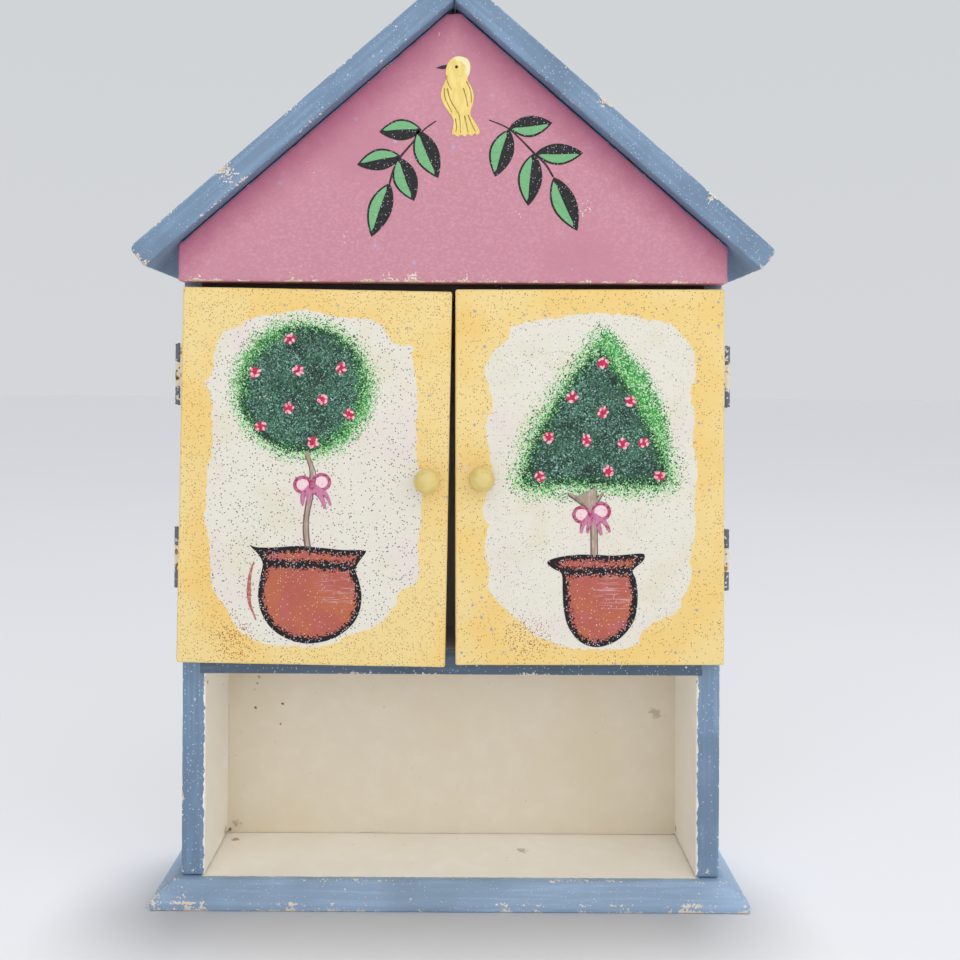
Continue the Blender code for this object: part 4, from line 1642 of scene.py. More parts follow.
@dataclass(frozen=True)
class Topiary:
    """A clipped tree in a pot, laid out in millimetres from the middle of its door."""

    tree: Tree
    label: str
    patch: Sequence[Point]
    berries: Sequence[Point]
    trunk: Sequence[Stroke]
    bark: Sequence[Stroke]
    knot: Point
    loops: Sequence[tuple[Point, float]]
    tails: Sequence[Stroke]
    pot: Sequence[Point]
    rim_line: tuple[Point, Point]
    extra: Sequence[Stroke] = ()

    def heart(self, flat: np.ndarray) -> np.ndarray:
        """Measure how deep points lie inside the dark middle.

        Args:
            flat: Points in millimetres, as an N by 2 array.

        Returns:
            One depth for each point, negative outside.
        """

        if self.tree is Tree.BALL:
            return 25.6 - np.hypot(flat[:, 0] + 4.5, (flat[:, 1] - 35.5) * 1.01)
        cone = ((4.2, 54.0), (16.4, 37.0), (26.8, 17.0), (31.0, 4.5), (31.2, -1.0), (28.0, -3.0))
        cone += ((-24.0, -3.2), (-27.6, -1.0), (-24.0, 12.0), (-16.8, 25.0), (-9.2, 38.0))
        return inside_distance(flat, cone)

    def foliage(self, flat: np.ndarray) -> np.ndarray:
        """Measure how deep points lie inside the whole foliage.

        Args:
            flat: Points in millimetres, as an N by 2 array.

        Returns:
            One depth for each point, negative outside.
        """

        heart = self.heart(flat)
        if self.tree is Tree.BALL:
            return heart * 0.8 + 1.7
        lobe = ((3.0, 48.0), (4.6, 60.0), (8.6, 57.0), (15.4, 49.0), (22.0, 41.0), (28.0, 29.0))
        lobe += ((30.8, 18.0), (33.0, 4.0), (31.0, -2.0), (20.0, -2.0))
        return np.maximum(heart * 0.6 + 1.5, inside_distance(flat, lobe) + 0.4)

    def glow(self, flat: np.ndarray) -> np.ndarray:
        """Find how brightly lit the foliage is painted.

        Args:
            flat: Points in millimetres, as an N by 2 array.

        Returns:
            A share from 0 to 1 for each point.
        """

        heart = self.heart(flat)
        if self.tree is Tree.BALL:
            turn = np.arctan2(flat[:, 1] - 35.5, flat[:, 0] + 4.5)
            facing = np.clip(np.cos(turn + 0.5) * 1.5 - 0.7, 0, 0.8)
            facing = np.maximum(facing, np.clip(np.cos(turn - 2.5) * 1.6 - 1.0, 0, 0.6))
            return facing * np.clip((6.0 - heart) / 6.0, 0, 1)
        rightward = np.clip((flat[:, 0] + 2.0) / 4.0, 0, 1) * np.clip((flat[:, 1] - 6.0) / 14.0, 0.15, 1)
        return np.clip((2.5 - heart) / 4.0, 0, 1) * np.maximum(rightward, 0.2)

    def ink(self, flat: np.ndarray) -> np.ndarray:
        """Measure the distance to the pot's painted outline and rim line.

        Args:
            flat: Points in millimetres, as an N by 2 array.

        Returns:
            One distance for each point.
        """

        (left_x, left_z), (right_x, right_z) = self.rim_line
        share = np.clip((flat[:, 0] - left_x) / (right_x - left_x), 0, 1)
        line = np.abs(flat[:, 1] - (left_z + (right_z - left_z) * share)) + 0.9
        return np.minimum(np.abs(inside_distance(flat, flowing(self.pot))) + 0.25, line)

    def build(self, canvas: Canvas) -> None:
        """Paint the pot, trunk, bow and berries on a door.

        Args:
            canvas: The door's face.
        """
        tag = self.label
        seed = 1.0 if self.tree is Tree.BALL else 2.0
        scratch_x = canvas.origin[0] / MM + self.rim_line[1][0] - 7.0
        scratch_z = canvas.origin[1] / MM + self.rim_line[1][1] - 8.0
        clay = PotFinish(f"terracotta_{tag}", seed, ((scratch_x, canvas.face / MM, scratch_z), 13.0))
        canvas.film(f"pot_{tag}", [flowing(self.pot)], clay.material(), pitch=0.8 * MM, ink=self.ink)
        bark = FilmFinish(f"trunk_paint_{tag}", TRUNK, TRUNK_LIGHT, (0.8, 0.8, 5.0))
        canvas.strokes(f"trunk_{tag}", self.trunk, bark.material())
        shadow = FilmFinish(f"trunk_shade_{tag}", TRUNK_DARK, TRUNK_EDGE, (0.8, 0.8, 3.0))
        canvas.strokes(f"trunk_edges_{tag}", self.bark, shadow.material(), 0.1 * MM)
        ribbon = FilmFinish(f"ribbon_paint_{tag}", RIBBON, RIBBON_DEEP, (1.6, 1.6, 1.1), 0.52)
        rings = [
            Stroke(
                [
                    (x + reach * 0.8 * math.cos(turn), z + reach * 0.74 * math.sin(turn))
                    for turn in (math.tau * step / 8 for step in range(8))
                ],
                reach * 0.32,
                reach * 0.32,
                True,
            )
            for (x, z), reach in self.loops
        ]
        canvas.strokes(f"bow_loops_{tag}", rings, ribbon.material(), 0.12 * MM)
        tails = FilmFinish(f"ribbon_tail_paint_{tag}", MAUVE, RIBBON_DEEP, (1.1, 1.1, 2.2), 0.6)
        canvas.strokes(f"bow_tails_{tag}", self.tails, tails.material(), 0.1 * MM)
        pale = FilmFinish(f"petal_paint_{tag}", PETAL, PETAL_PINK, (0.9, 0.9, 0.9), 0.6)
        canvas.dabs(
            f"bow_linings_{tag}",
            [((x, z), reach * 1.32, reach * 1.2) for (x, z), reach in self.loops],
            pale.material(),
            0.06 * MM,
        )
        red = FilmFinish(f"berry_paint_{tag}", CRIMSON, BERRY_DEEP, (1.0, 1.0, 1.0), 0.56)
        canvas.dabs(f"bow_knot_{tag}", [(self.knot, 2.8, 2.4)], ribbon.material(), 0.14 * MM, 0.22)
        canvas.dabs(
            f"berries_{tag}", [(spot, 4.2, 4.8) for spot in self.berries], red.material(), 0.02 * MM
        )
        blush = FilmFinish(f"berry_petal_paint_{tag}", BLUSH, BLUSH_DEEP, (0.9, 0.9, 0.9), 0.54)
        canvas.dabs(f"berry_petals_{tag}", self.petals(), blush.material(), 0.1 * MM, 0.14)
        if self.extra:
            line = FilmFinish(f"terracotta_line_{tag}", POT_LINE, POT_LINE_LIGHT)
            canvas.strokes(f"pot_shadow_line_{tag}", self.extra, line.material())

    def petals(self) -> list[tuple[Point, float, float]]:
        """Scatter the pale dabs round each berry.

        Returns:
            Middle, width and length of each dab.
        """

        chance = random.Random(self.label)
        dabs: list[tuple[Point, float, float]] = []
        for x, z in self.berries:
            first = chance.uniform(0, math.tau)
            count = chance.choice((4, 5, 5))
            for index in range(count):
                turn = first + math.tau * index / count + chance.uniform(-0.4, 0.4)
                reach = chance.uniform(1.3, 2.1)
                spot = (x + reach * math.cos(turn), z + reach * math.sin(turn))
                dabs.append((spot, chance.uniform(0.9, 1.5), chance.uniform(1.4, 2.4)))
        return dabs


LEFT_TOPIARY = Topiary(
    tree=Tree.BALL,
    label="left",
    patch=(
        (-4, 68), (-16, 66), (-27, 64), (-31, 61), (-38, 58), (-41, 50), (-42, 42), (-45, 37),
        (-42, 32), (-42, 20), (-42, 10), (-44, 0), (-44, -12), (-45, -17), (-43, -27), (-42, -40),
        (-41, -48), (-36, -54), (-32, -62), (-24, -68), (-11, -70), (4, -70), (17, -65), (27, -61),
        (33, -54), (36, -47), (43, -43), (43, -30), (44, -14), (44, -1), (42, 10), (42, 22),
        (42, 38), (40, 47), (40, 53), (33, 54), (28, 60), (24, 64), (10, 65),
    ),
    berries=(
        (-10, 56), (-24.5, 42), (-6.5, 43), (11, 44), (3.5, 31), (-10.5, 27.5), (14.5, 25),
        (-22, 20), (-0.5, 13.5),
    ),
    trunk=(
        Stroke(((-3, 10), (-0.9, 1.5), (-1.6, -8)), 1.5, 2.4),
        Stroke(((-1.6, -8), (-3.1, -18), (-3, -24.5), (-2.2, -30)), 2.5, 2.3),
    ),
    bark=(
        Stroke(((-3.6, 8), (-1.5, 1), (-2.6, -9), (-4.1, -19), (-4, -25), (-3.2, -30)), 0.3, 0.7),
        Stroke(((-1.6, 7), (0.8, 0), (-0.4, -9), (-2, -17), (-2, -24), (-1.2, -30)), 0.3, 0.5),
    ),
    knot=(-0.9, -5.0),
    loops=(((-4.5, -3.9), 4.2), ((3.1, -2.8), 4.2)),
    tails=(
        Stroke(((-1.4, -5.0), (-4.2, -8), (-4.7, -12)), 3.6, 1.1),
        Stroke(((-1.0, -5.2), (-2.0, -9), (-2.5, -12.2)), 2.8, 0.8),
        Stroke(((-0.4, -5.2), (2.8, -8.5), (4.7, -13.6)), 3.8, 1.0),
        Stroke(((0.4, -4.8), (4.8, -7.8), (7, -12.4)), 3.0, 0.8),
    ),
    pot=(
        (-26.2, -28.8), (-23.5, -29.6), (-16, -29.7), (-6, -29), (4, -29.8), (12, -30.6),
        (20.5, -30.6), (21.4, -31.6), (19.4, -34.4), (17.3, -38.4), (18.6, -43), (19.8, -49),
        (18.9, -56), (15.3, -62), (8, -67), (-1.2, -69), (-9.5, -67.6), (-17, -63), (-21.4, -56),
        (-22.6, -49), (-21.8, -42), (-20.8, -36.5), (-22.6, -32.6),
    ),
    rim_line=((-21, -36.0), (17.5, -37.6)),
    extra=(
        Stroke(((-24.4, -35.5), (-26.0, -41), (-26.5, -48)), 0.5, 1.9),
        Stroke(((-26.5, -48), (-26.0, -53), (-23.4, -59.5)), 1.9, 0.5),
    ),
)

RIGHT_TOPIARY = Topiary(
    tree=Tree.CONE,
    label="right",
    patch=(
        (-3, 67), (-14, 65), (-31, 62), (-34, 57), (-42, 48), (-43, 40), (-40, 30), (-43, 20),
        (-41, 8), (-40, 0), (-44, -13), (-42, -20), (-43, -31), (-41, -40), (-42, -46), (-36, -53),
        (-28, -60), (-21, -66), (-8, -70), (7, -71), (19, -69), (22, -63), (28, -59), (36, -55),
        (38, -50), (42, -40), (41, -35), (43, -24), (43, -8), (44, 4), (42, 15), (43, 25), (41, 34),
        (43, 42), (42, 53), (37, 58), (33, 63), (20, 65), (10, 67),
    ),
    berries=(
        (5, 46.5), (-7.5, 32.5), (16.5, 31), (5, 26.5), (-17, 16), (-1.5, 15), (13.5, 13.5),
        (22, 14), (7.5, 2.5), (-20.5, 0), (28.5, 0.5),
    ),
    trunk=(
        Stroke(((-8.5, -7), (-4, -9.6), (0.8, -14)), 1.0, 1.8),
        Stroke(((5.2, -6.4), (3.2, -10), (1.2, -14)), 1.0, 1.8),
        Stroke(((-1.8, -6.4), (-0.4, -9.4), (0.8, -13)), 10.5, 3.6),
        Stroke(((-1.5, -7.2), (-0.6, -10.4), (1.4, -16), (1.8, -24), (1.9, -33)), 4.6, 2.6),
    ),
    bark=(
        Stroke(((-9, -7.6), (-4.4, -10.8), (0, -15), (0.5, -24), (0.6, -33)), 0.6, 0.5),
        Stroke(((5.6, -7), (3.4, -10.6), (2.8, -16), (3.1, -24), (3.2, -33)), 0.4, 0.4),
    ),
    knot=(0.8, -16.2),
    loops=(((-3.3, -15.6), 4.1), ((4.5, -14.2), 4.4)),
    tails=(
        Stroke(((0.2, -16.4), (-2.6, -19), (-3.6, -23.2)), 3.4, 1.0),
        Stroke(((0.6, -16.6), (-0.4, -20), (-1.0, -23.2)), 2.8, 0.8),
        Stroke(((1.2, -16.6), (3.4, -20), (4.8, -24)), 3.8, 1.0),
        Stroke(((1.8, -16.0), (6, -18.6), (8.3, -22.8)), 3.2, 0.9),
    ),
    pot=(
        (-17.4, -35.6), (-15.5, -33.9), (-9, -32.4), (0, -31.9), (10, -32.3), (20.5, -31.4),
        (22.6, -32.2), (21.8, -34.6), (17.8, -38.4), (19, -42), (19.8, -48), (19.2, -56), (16.6, -62),
        (11, -67.4), (3.3, -69.9), (-3.6, -67.8), (-8.4, -62), (-10.4, -55), (-11, -47), (-11.4, -40),
        (-14.5, -38),
    ),
    rim_line=((-12, -39.2), (18, -38.4)),
)


@dataclass(frozen=True)
class Leaf:
    """A pointed leaf whose one half is green. Lengths are in millimetres."""

    base: Point
    tip: Point
    green: int
    width: float = 9.8
    line: float = 0.85

    def at(self, along: float, across: float) -> Point:
        """Place a point on the leaf.

        Args:
            along: Share of the leaf's length.
            across: Distance to one side.

        Returns:
            The point.
        """

        base, tip = Vector(self.base), Vector(self.tip)
        way = (tip - base).normalized()
        bow = math.sin(math.pi * along) * 0.4 * self.green
        spot = base + (tip - base) * along + Vector((-way.y, way.x)) * (across + bow)
        return spot.x, spot.y

    def half_width(self, along: float) -> float:
        """Return half the leaf's width at a share of its length."""
        return self.width / 2 * math.sin(math.pi * along**0.92) ** 0.85

    def outline(self) -> list[Point]:
        """Draw the whole leaf's outline.

        Returns:
            Its corners in order.
        """

        shares = [step / 14 for step in range(1, 14)]
        one = [self.at(share, self.half_width(share)) for share in shares]
        other = [self.at(share, -self.half_width(share)) for share in reversed(shares)]
        return [self.base, *one, self.tip, *other]

    def green_half(self) -> list[Point]:
        """Draw the outline of the green half, inside its dark line.

        Returns:
            Its corners in order.
        """

        shares = [0.07 + 0.84 * step / 12 for step in range(13)]
        outer = [
            self.at(share, self.green * max(self.half_width(share) - self.line, 0.15))
            for share in shares
        ]
        inner = [self.at(share, self.green * 0.1) for share in reversed(shares[1:-1])]
        return [*outer, *inner]


@dataclass(frozen=True)
class Sprig:
    """A twig with five leaves, in millimetres from the foot of the cabinet's middle."""

    label: str
    twigs: Sequence[Stroke]
    leaves: Sequence[Leaf]

    def build(self, canvas: Canvas) -> None:
        """Paint the sprig.

        Args:
            canvas: The gable's face.
        """
        white = Specks(SPRIG_SPARK, 0.85, 0.19, 0.5, 3.0)
        dark = FilmFinish(f"leaf_dark_{self.label}", INK, SPRIG_BLACK, specks=(white,))
        canvas.film(f"leaves_{self.label}", [leaf.outline() for leaf in self.leaves], dark.material())
        light = Specks(SPRIG_LIGHT, 1.2, 0.22, 0.35, 5.0)
        green = FilmFinish(
            f"leaf_green_{self.label}", SPRIG_GREEN, SPRIG_DEEP, (3.0, 3.0, 1.0), specks=(light,)
        )
        halves = [leaf.green_half() for leaf in self.leaves]
        canvas.film(f"leaf_greens_{self.label}", halves, green.material(), 0.17 * MM)
        twig = FilmFinish(f"twig_{self.label}", TWIG, INK, (1.0, 1.0, 1.0))
        canvas.strokes(f"twigs_{self.label}", self.twigs, twig.material(), 0.03 * MM, 0.2)


LEFT_SPRIG = Sprig(
    "left",
    twigs=(
        Stroke(((-7.3, 325), (-12.2, 321.4), (-16.5, 316.5), (-21.6, 310.6)), 0.5, 0.9),
        Stroke(((-21.6, 310.6), (-24.6, 305), (-26.4, 298.6)), 0.9, 0.8),
    ),
    leaves=(
        Leaf((-13.2, 321.4), (-30.6, 320.4), -1, 8.8),
        Leaf((-14.8, 321.2), (-6.3, 301.6), -1, 10.2),
        Leaf((-21.6, 310.4), (-39.6, 306.8), -1, 8.8),
        Leaf((-22.6, 310.0), (-16.1, 292.1), -1, 10.0),
        Leaf((-26.2, 299.4), (-33.6, 277.3), -1, 9.8),
    ),
)

RIGHT_SPRIG = Sprig(
    "right",
    twigs=(
        Stroke(((14.5, 325.5), (21.9, 322.4), (27.6, 317.5), (32.6, 312.4)), 0.5, 0.9),
        Stroke(((32.6, 312.4), (37.6, 307.6), (40.9, 302.3)), 0.9, 0.8),
    ),
    leaves=(
        Leaf((22.7, 322.3), (40.4, 324.5), -1, 8.8),
        Leaf((22.7, 321.7), (17.1, 302.2), -1, 10.0),
        Leaf((33.5, 311.8), (53.2, 312.2), -1, 8.8),
        Leaf((32.8, 311.9), (30.7, 290.3), -1, 10.0),
        Leaf((41.1, 302.2), (50.9, 280.2), -1, 10.2),
    ),
)


@dataclass(frozen=True)
class Bird:
    """A small perched bird on the gable, in millimetres from the middle of its back."""

    middle: Point = (2.0, 335.0)
    body: Sequence[Point] = (
        (1, 16.4), (3.4, 15.5), (4.6, 13.2), (4.4, 9.8), (3.4, 7.2), (4.9, 4.4), (6.1, 0.9),
        (5.8, -2.6), (4.9, -5.7), (5, -7.9), (6.9, -10.8), (8.7, -14.2), (7.6, -15.7), (6.6, -15),
        (5.2, -16.1), (3.9, -15.3), (2.6, -16.4), (1.2, -15.6), (-0.4, -16.4), (-1.6, -15.5),
        (-2.7, -15.2), (-2.1, -11.3), (-2.4, -8.8), (-3.8, -6.6), (-5.9, -3.6), (-7.3, -0.1),
        (-6.9, 3.2), (-5.6, 6.2), (-5.1, 7.6), (-5.4, 9.8), (-5, 12.6), (-3.6, 15), (-1.3, 16.4),
    )

    def crown(self, flat: np.ndarray) -> np.ndarray:
        """Find how pale the head's rim is painted.

        Args:
            flat: Points in millimetres, as an N by 2 array.

        Returns:
            A share from 0 to 1 for each point.
        """

        head = np.hypot(flat[:, 0] - self.middle[0] + 0.4, flat[:, 1] - self.middle[1] - 11.6)
        side = (flat[:, 0] - self.middle[0]) * 0.8 + (flat[:, 1] - self.middle[1] - 11.0) * 0.6
        rim = np.clip((head - 2.3) / 1.4, 0, 1) * np.clip((side - 0.2) / 2.0, 0, 1)
        return rim * (flat[:, 1] > self.middle[1] + 7.5)

    def build(self, canvas: Canvas) -> None:
        """Paint the bird.

        Args:
            canvas: The gable's face.
        """
        x, z = self.middle
        outline = flowing([(x + a, z + b) for a, b in self.body], 3)
        plumage = CrownFinish("bird_plumage")
        canvas.film("bird", [outline], plumage.material(), 0.22 * MM, 0.6 * MM, crown=self.crown)
        line = FilmFinish("bird_feather_line", BIRD_LINE, BIRD_LINE_LIGHT, (0.8, 0.8, 2.0))
        feathers = (
            ((-5.2, 8.6), (-4.4, 5.4), (-3.0, 2.8)),
            ((-6.0, 3.6), (-5.6, -0.6), (-2.8, -6.4)),
            ((-4.7, 3.3), (-3.5, -1.2), (-1.2, -5.2), (0.3, -8.2), (0.8, -15)),
            ((1.9, 3.5), (3.2, -1.1), (3.7, -4.2)),
            ((3.1, 6.3), (4.8, 2.4), (5.2, -2.6)),
            ((2.4, -7.9), (3.3, -12), (3.9, -14.6)),
            ((3.9, -7.6), (5.5, -11.5), (6.9, -14.4)),
            ((-1.4, -9), (-0.9, -12.4), (-1.2, -14.6)),
        )
        strokes = [Stroke([(x + a, z + b) for a, b in points], 0.5, 0.3) for points in feathers]
        canvas.strokes("bird_feathers", strokes, line.material(), 0.24 * MM, 0.2)
        black = FilmFinish("bird_beak_black", BEAK, BEAK_LIGHT)
        beak = ((-4.9, 13.1), (-4.7, 12.3), (-5, 11.5), (-7, 11.3), (-9.4, 11.8), (-7, 12.7))
        canvas.film("bird_beak", [[(x + a, z + b) for a, b in beak]], black.material(), 0.2 * MM)
        canvas.dabs("bird_eye", [((x - 1, z + 12.2), 1.35, 1.35)], black.material(), 0.22 * MM, 0.14)


# ------------------------------------------------------------------ assemblies


@dataclass
class Doors:
    """The two doors with their knobs and pictures."""

    tilts: dict[Side, float] = field(
        default_factory=lambda: {Side.LEFT: math.radians(0.8), Side.RIGHT: math.radians(0.3)}
    )
    origins: dict[Side, Point] = field(
        default_factory=lambda: {Side.LEFT: (-0.05665, 0.1793), Side.RIGHT: (0.05665, 0.1793)}
    )

    def build(self) -> None:
        """Build both doors."""
        for side, picture, cluster in (
            (Side.LEFT, LEFT_TOPIARY, (-33.0, -67.0, 11.0)),
            (Side.RIGHT, RIGHT_TOPIARY, (-25.0, -66.0, 12.0)),
        ):
            origin = self.origins[side]
            node = f"door_{side.label}"
            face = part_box(node)[0].y
            across, up, reach = cluster
            crowd = ((origin[0] / MM + across, face / MM, origin[1] / MM + up), reach)
            body = f"{side.label}_door"
            door = DoorBoard(
                node=node,
                name=f"door_board_{side.label}",
                slot="yellow_paint",
                finish=DoorFinish(f"door_paint_{side.label}", picture.tree, side.value + 2.0, crowd),
                body=body,
                pitch=1.0 * MM,
                arris=0.95 * MM,
                dents=0.16 * MM,
                fitted=True,
                side=side,
                tilt=self.tilts[side],
                patch=picture.patch,
                heart=picture.heart,
                foliage=picture.foliage,
                glow=picture.glow,
                origin=origin,
            )
            door.build()
            picture.build(Canvas(body, "yellow_paint", face + 0.06 * MM, origin))
            drops = (Specks(KNOB_DROP, 1.9, 0.22, 0.3, 2.0),)
            paint = FilmFinish(
                f"knob_paint_{side.label}", KNOB_YELLOW, KNOB_LIGHT, (3, 1, 3), 0.5, drops, 0.36
            )
            Knob(side, paint).build()


@dataclass
class Carcass:
    """The cabinet's fixed boards and the pictures on the gable."""

    def blue(self, stroke: Triple, turn: float = 0.0, seed: float = 1.0, body: Colour = BLUE) -> Coat:
        """Return the blue coat with its thrown specks.

        Args:
            stroke: Length of the brush marks along each axis.
            turn: Turn of the marks about Y.
            seed: Moves the pattern.
            body: The coat's main blue.

        Returns:
            The coat.
        """
        drops = (
            Specks(BLUE_DROP, 1.15, 0.2, 0.5, seed),
            Specks(BLUE_SPRAY, 1.4, 0.19, 0.34, seed + 2),
            Specks(WHITE_DROP, 3.4, 0.36, 0.2, seed + 1),
        )
        return Coat(body, tinted(body, 1.22), tinted(body, 0.8), stroke, turn, 30.0, drops, seed)

    def cream(self, stroke: Triple, seed: float) -> Coat:
        """Return the cream coat of the insides: a lighter copy of the back's cream, as painted light."""
        drops = (Specks(CREAM_DROP, 4.5, 0.3, 0.16, seed),)
        return Coat(LIT_CREAM_BODY, CREAM_LIGHT, CREAM_PALE, stroke, 0.0, 46.0, drops, seed)

    def build_sides(self) -> None:
        """Build the two side panels, cream inside and blue outside."""

        def lap(graph: Graph) -> Signal:
            """Return where the cream laps over the panel's inner arris."""
            ragged = (graph.noise(3.0, 2.0, 4.0) - 0.5) * 2.6
            return (103.75 - abs(graph.x) + ragged).ramp(-0.12, 0.12)

        for side in Side:
            x = side.value * 108.0
            # Painted shade: the left panel takes the darker copy of the blue, and the right keeps the plain
            # blue.
            post = SHADED_POST_BLUE if side is Side.LEFT else BLUE
            stains = (
                (
                    ((-103.0, -10.0, 90.5), 1.5, OLD_HOLE),
                    ((-103.0, 27.0, 13.0), 4.0, CORNER_STAIN),
                )
                if side is Side.LEFT
                else (((103.0, 29.0, 14.0), 3.0, SIDE_STAIN),)
            )
            wear = Wear(amount=0.2, spots=(((x, -14.0, 13.0), 3.0), ((side.value * 103.0, -14.0, 93.0), 3.5)))
            finish = BoardFinish(
                f"side_paint_{side.label}",
                self.blue((1.6, 30.0, 30.0), 0.0, 2.0 + side.value, post),
                self.cream((8.0, 8.0, 8.0), 3.0),
                lap,
                wear,
                stains=stains,
            )
            node = f"side_panel_{side.label}"
            SideBoard(node, f"side_board_{side.label}", "blue_paint", finish, fitted=True, side=side).build()

    def build_base(self) -> None:
        """Build the base, cream where it floors the cubby."""
        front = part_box("side_panel_left")[0].y / MM
        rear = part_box("back_panel")[1].y / MM

        def floor(graph: Graph) -> Signal:
            """Find where the base is painted cream.

            Args:
                graph: The material's graph.

            Returns:
                A share from 0 to 1.
            """

            ragged = (graph.noise(2.5, 4.0, 4.0) - 0.5) * 1.2
            gap = (104.6 - abs(graph.x)).least(graph.y - front - 0.2)
            gap = gap.least(rear - 1.5 - graph.y).least(graph.z - 3.0)
            return (gap + ragged).ramp(-0.15, 0.15)

        whole = (-92, -20, 18, 46, 84)
        worn = [x for x in range(-120, 124, 6) if min(abs(x - at) for at in whole) > 5]
        spots = tuple(((x, -25.0, -0.2), 5.0) for x in worn)
        spots += (((-122.0, -22.0, 2.0), 4.5), ((121.5, -24.0, 0.5), 4.5))
        finish = BoardFinish(
            "base_paint",
            self.blue((32.0, 2.0, 1.6), 0.0, 5.0, BASE_BLUE),
            self.cream((8.0, 8.0, 8.0), 6.0),
            floor,
            Wear(spots=spots, width=1.1, amount=0.19, wood=PRIMER),
            stains=(
                ((31.6, 13.5, 10.0), 4.0, PALE_STAIN),
                ((-98.0, 24.0, 10.0), 3.6, FLOOR_STAIN),
            ),
        )
        BaseBoard(
            "base_board", "base_moulding", "blue_paint", finish, pitch=2.0 * MM, fitted=True
        ).build()

    def build_shelves(self) -> None:
        """Build the middle shelf, its front edge a darker blue as painted shade below the doors, and the
        ceiling board, its front edge near-black as painted shade in the gap above the doors.
        """
        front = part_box("middle_shelf")[0].y / MM

        def inner(graph: Graph) -> Signal:
            """Return where the shelf is painted cream."""
            ragged = (graph.noise(2.5, 5.0, 4.0) - 0.5) * 1.2
            return (graph.y - front - 0.7 + ragged).ramp(-0.15, 0.15)

        cream = self.cream((30.0, 2.0, 2.0), 8.0)
        # Painted shade: the ceiling board's outside is near-black, standing for the dark gap seen between the
        # door tops and the gable.
        stain_and_gap_shade = Coat(GAP_SHADE, GAP_SHADE_LIGHT, GAP_SHADE_DEEP, (30.0, 2.0, 1.2))
        for node, name, coat, border in (
            # Painted shade: the shelf's darker blue stands for the shadow below the doors.
            ("middle_shelf", "shelf_board", self.blue((32.0, 2.0, 1.4), 0.0, 9.0, SHADED_SHELF_BLUE), inner),
            ("ceiling_board", "ceiling_shelf", stain_and_gap_shade, inner),
        ):
            finish = BoardFinish(name + "_paint", coat, cream, border, Wear(amount=0.2))
            slot = "cream_paint"
            growth = ((CLOSED, 0.0, CLOSED), (CLOSED, 0.0, CLOSED))
            Board(
                node, name, slot, finish, pitch=2.4 * MM, arris=0.2 * MM, dents=0.06 * MM, growth=growth
            ).build()

    def build_back(self) -> None:
        """Build the back, painted cream in the front and thinly washed behind."""
        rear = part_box("back_panel")[1].y / MM

        def bare_side(graph: Graph) -> Signal:
            """Return where the wash leaves the wood's grain to show."""
            grain = graph.noise((2.2, 2.2, 60.0), 11.0, 5.0)
            return (graph.y > rear - 0.6) * (grain.ramp(0.3, 0.6) * 0.7 + 0.3)

        wood = Coat(RAW_WOOD, RAW_LIGHT, RAW_GRAIN, (1.4, 1.4, 50.0), 0.0, 60.0, (), 12.0)
        cream = Coat(
            BACK_CREAM, BACK_LIGHT, CREAM_WARM, (7.0, 7.0, 7.0), 0.0, 60.0,
            (Specks(BACK_DROP, 7.0, 0.3, 0.2, 7.0),), 7.0,
        )
        holes = ((-90.5, 67.6, 1.2), (-78.0, 69.4, 1.2), (-79.0, 60.2, 1.0), (-102.0, 11.6, 1.6))
        stains = tuple(((x, 31.6, z), reach, NAIL_HOLE) for x, z, reach in holes)
        scratch = ((-89.0, 82.0), (-89.9, 79.0), (-90.8, 76.0))
        stains += tuple(((x, 31.6, z), 1.1, SCUFF) for x, z in scratch)
        stains += (((94.0, 31.6, 66.4), 5.0, GREY_STAIN), ((-99.0, 31.6, 14.0), 3.5, TAN_STAIN))
        finish = BoardFinish("back_paint", cream, wood, bare_side, Wear(amount=0.1), stains=stains)
        HouseBoard(
            "back_panel",
            "back_board",
            "cream_paint",
            finish,
            pitch=2.4 * MM,
            arris=0.3 * MM,
            growth=((0.0, CLOSED, CLOSED), (0.0, 0.0, 0.0)),
        ).build()

    def build_gable(self) -> None:
        """Build the pink gable, its bird and its sprigs."""
        low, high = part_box("gable_front")
        apex = high.z / MM + PEAK_HALF / MM * math.tan(ROOF_PITCH)
        slope, upright = math.tan(ROOF_PITCH), math.cos(ROOF_PITCH)

        def under_roof(graph: Graph) -> Signal:
            """Find where the roof's blue strays onto the gable.

            Args:
                graph: The material's graph.

            Returns:
                A share from 0 to 1.
            """

            gap = (apex - abs(graph.x) * slope - graph.z) * upright
            ragged = (graph.noise(1.6, 3.0, 5.0) - 0.5) * 3.0
            return (0.5 - gap + ragged).ramp(-0.2, 0.2)

        # Painted shade: the pink darkens within about 17 mm of the roof's underside, where the overhang's
        # shadow falls.
        def deeper(graph: Graph) -> Signal:
            """Return where painted shade darkens the pink below the roof's overhang."""
            gap = (apex - abs(graph.x) * slope - graph.z) * upright
            return (1 - (gap + (graph.noise(6.0, 9.0) - 0.5) * 8.0).ramp(0.0, 17.0)) * 0.85

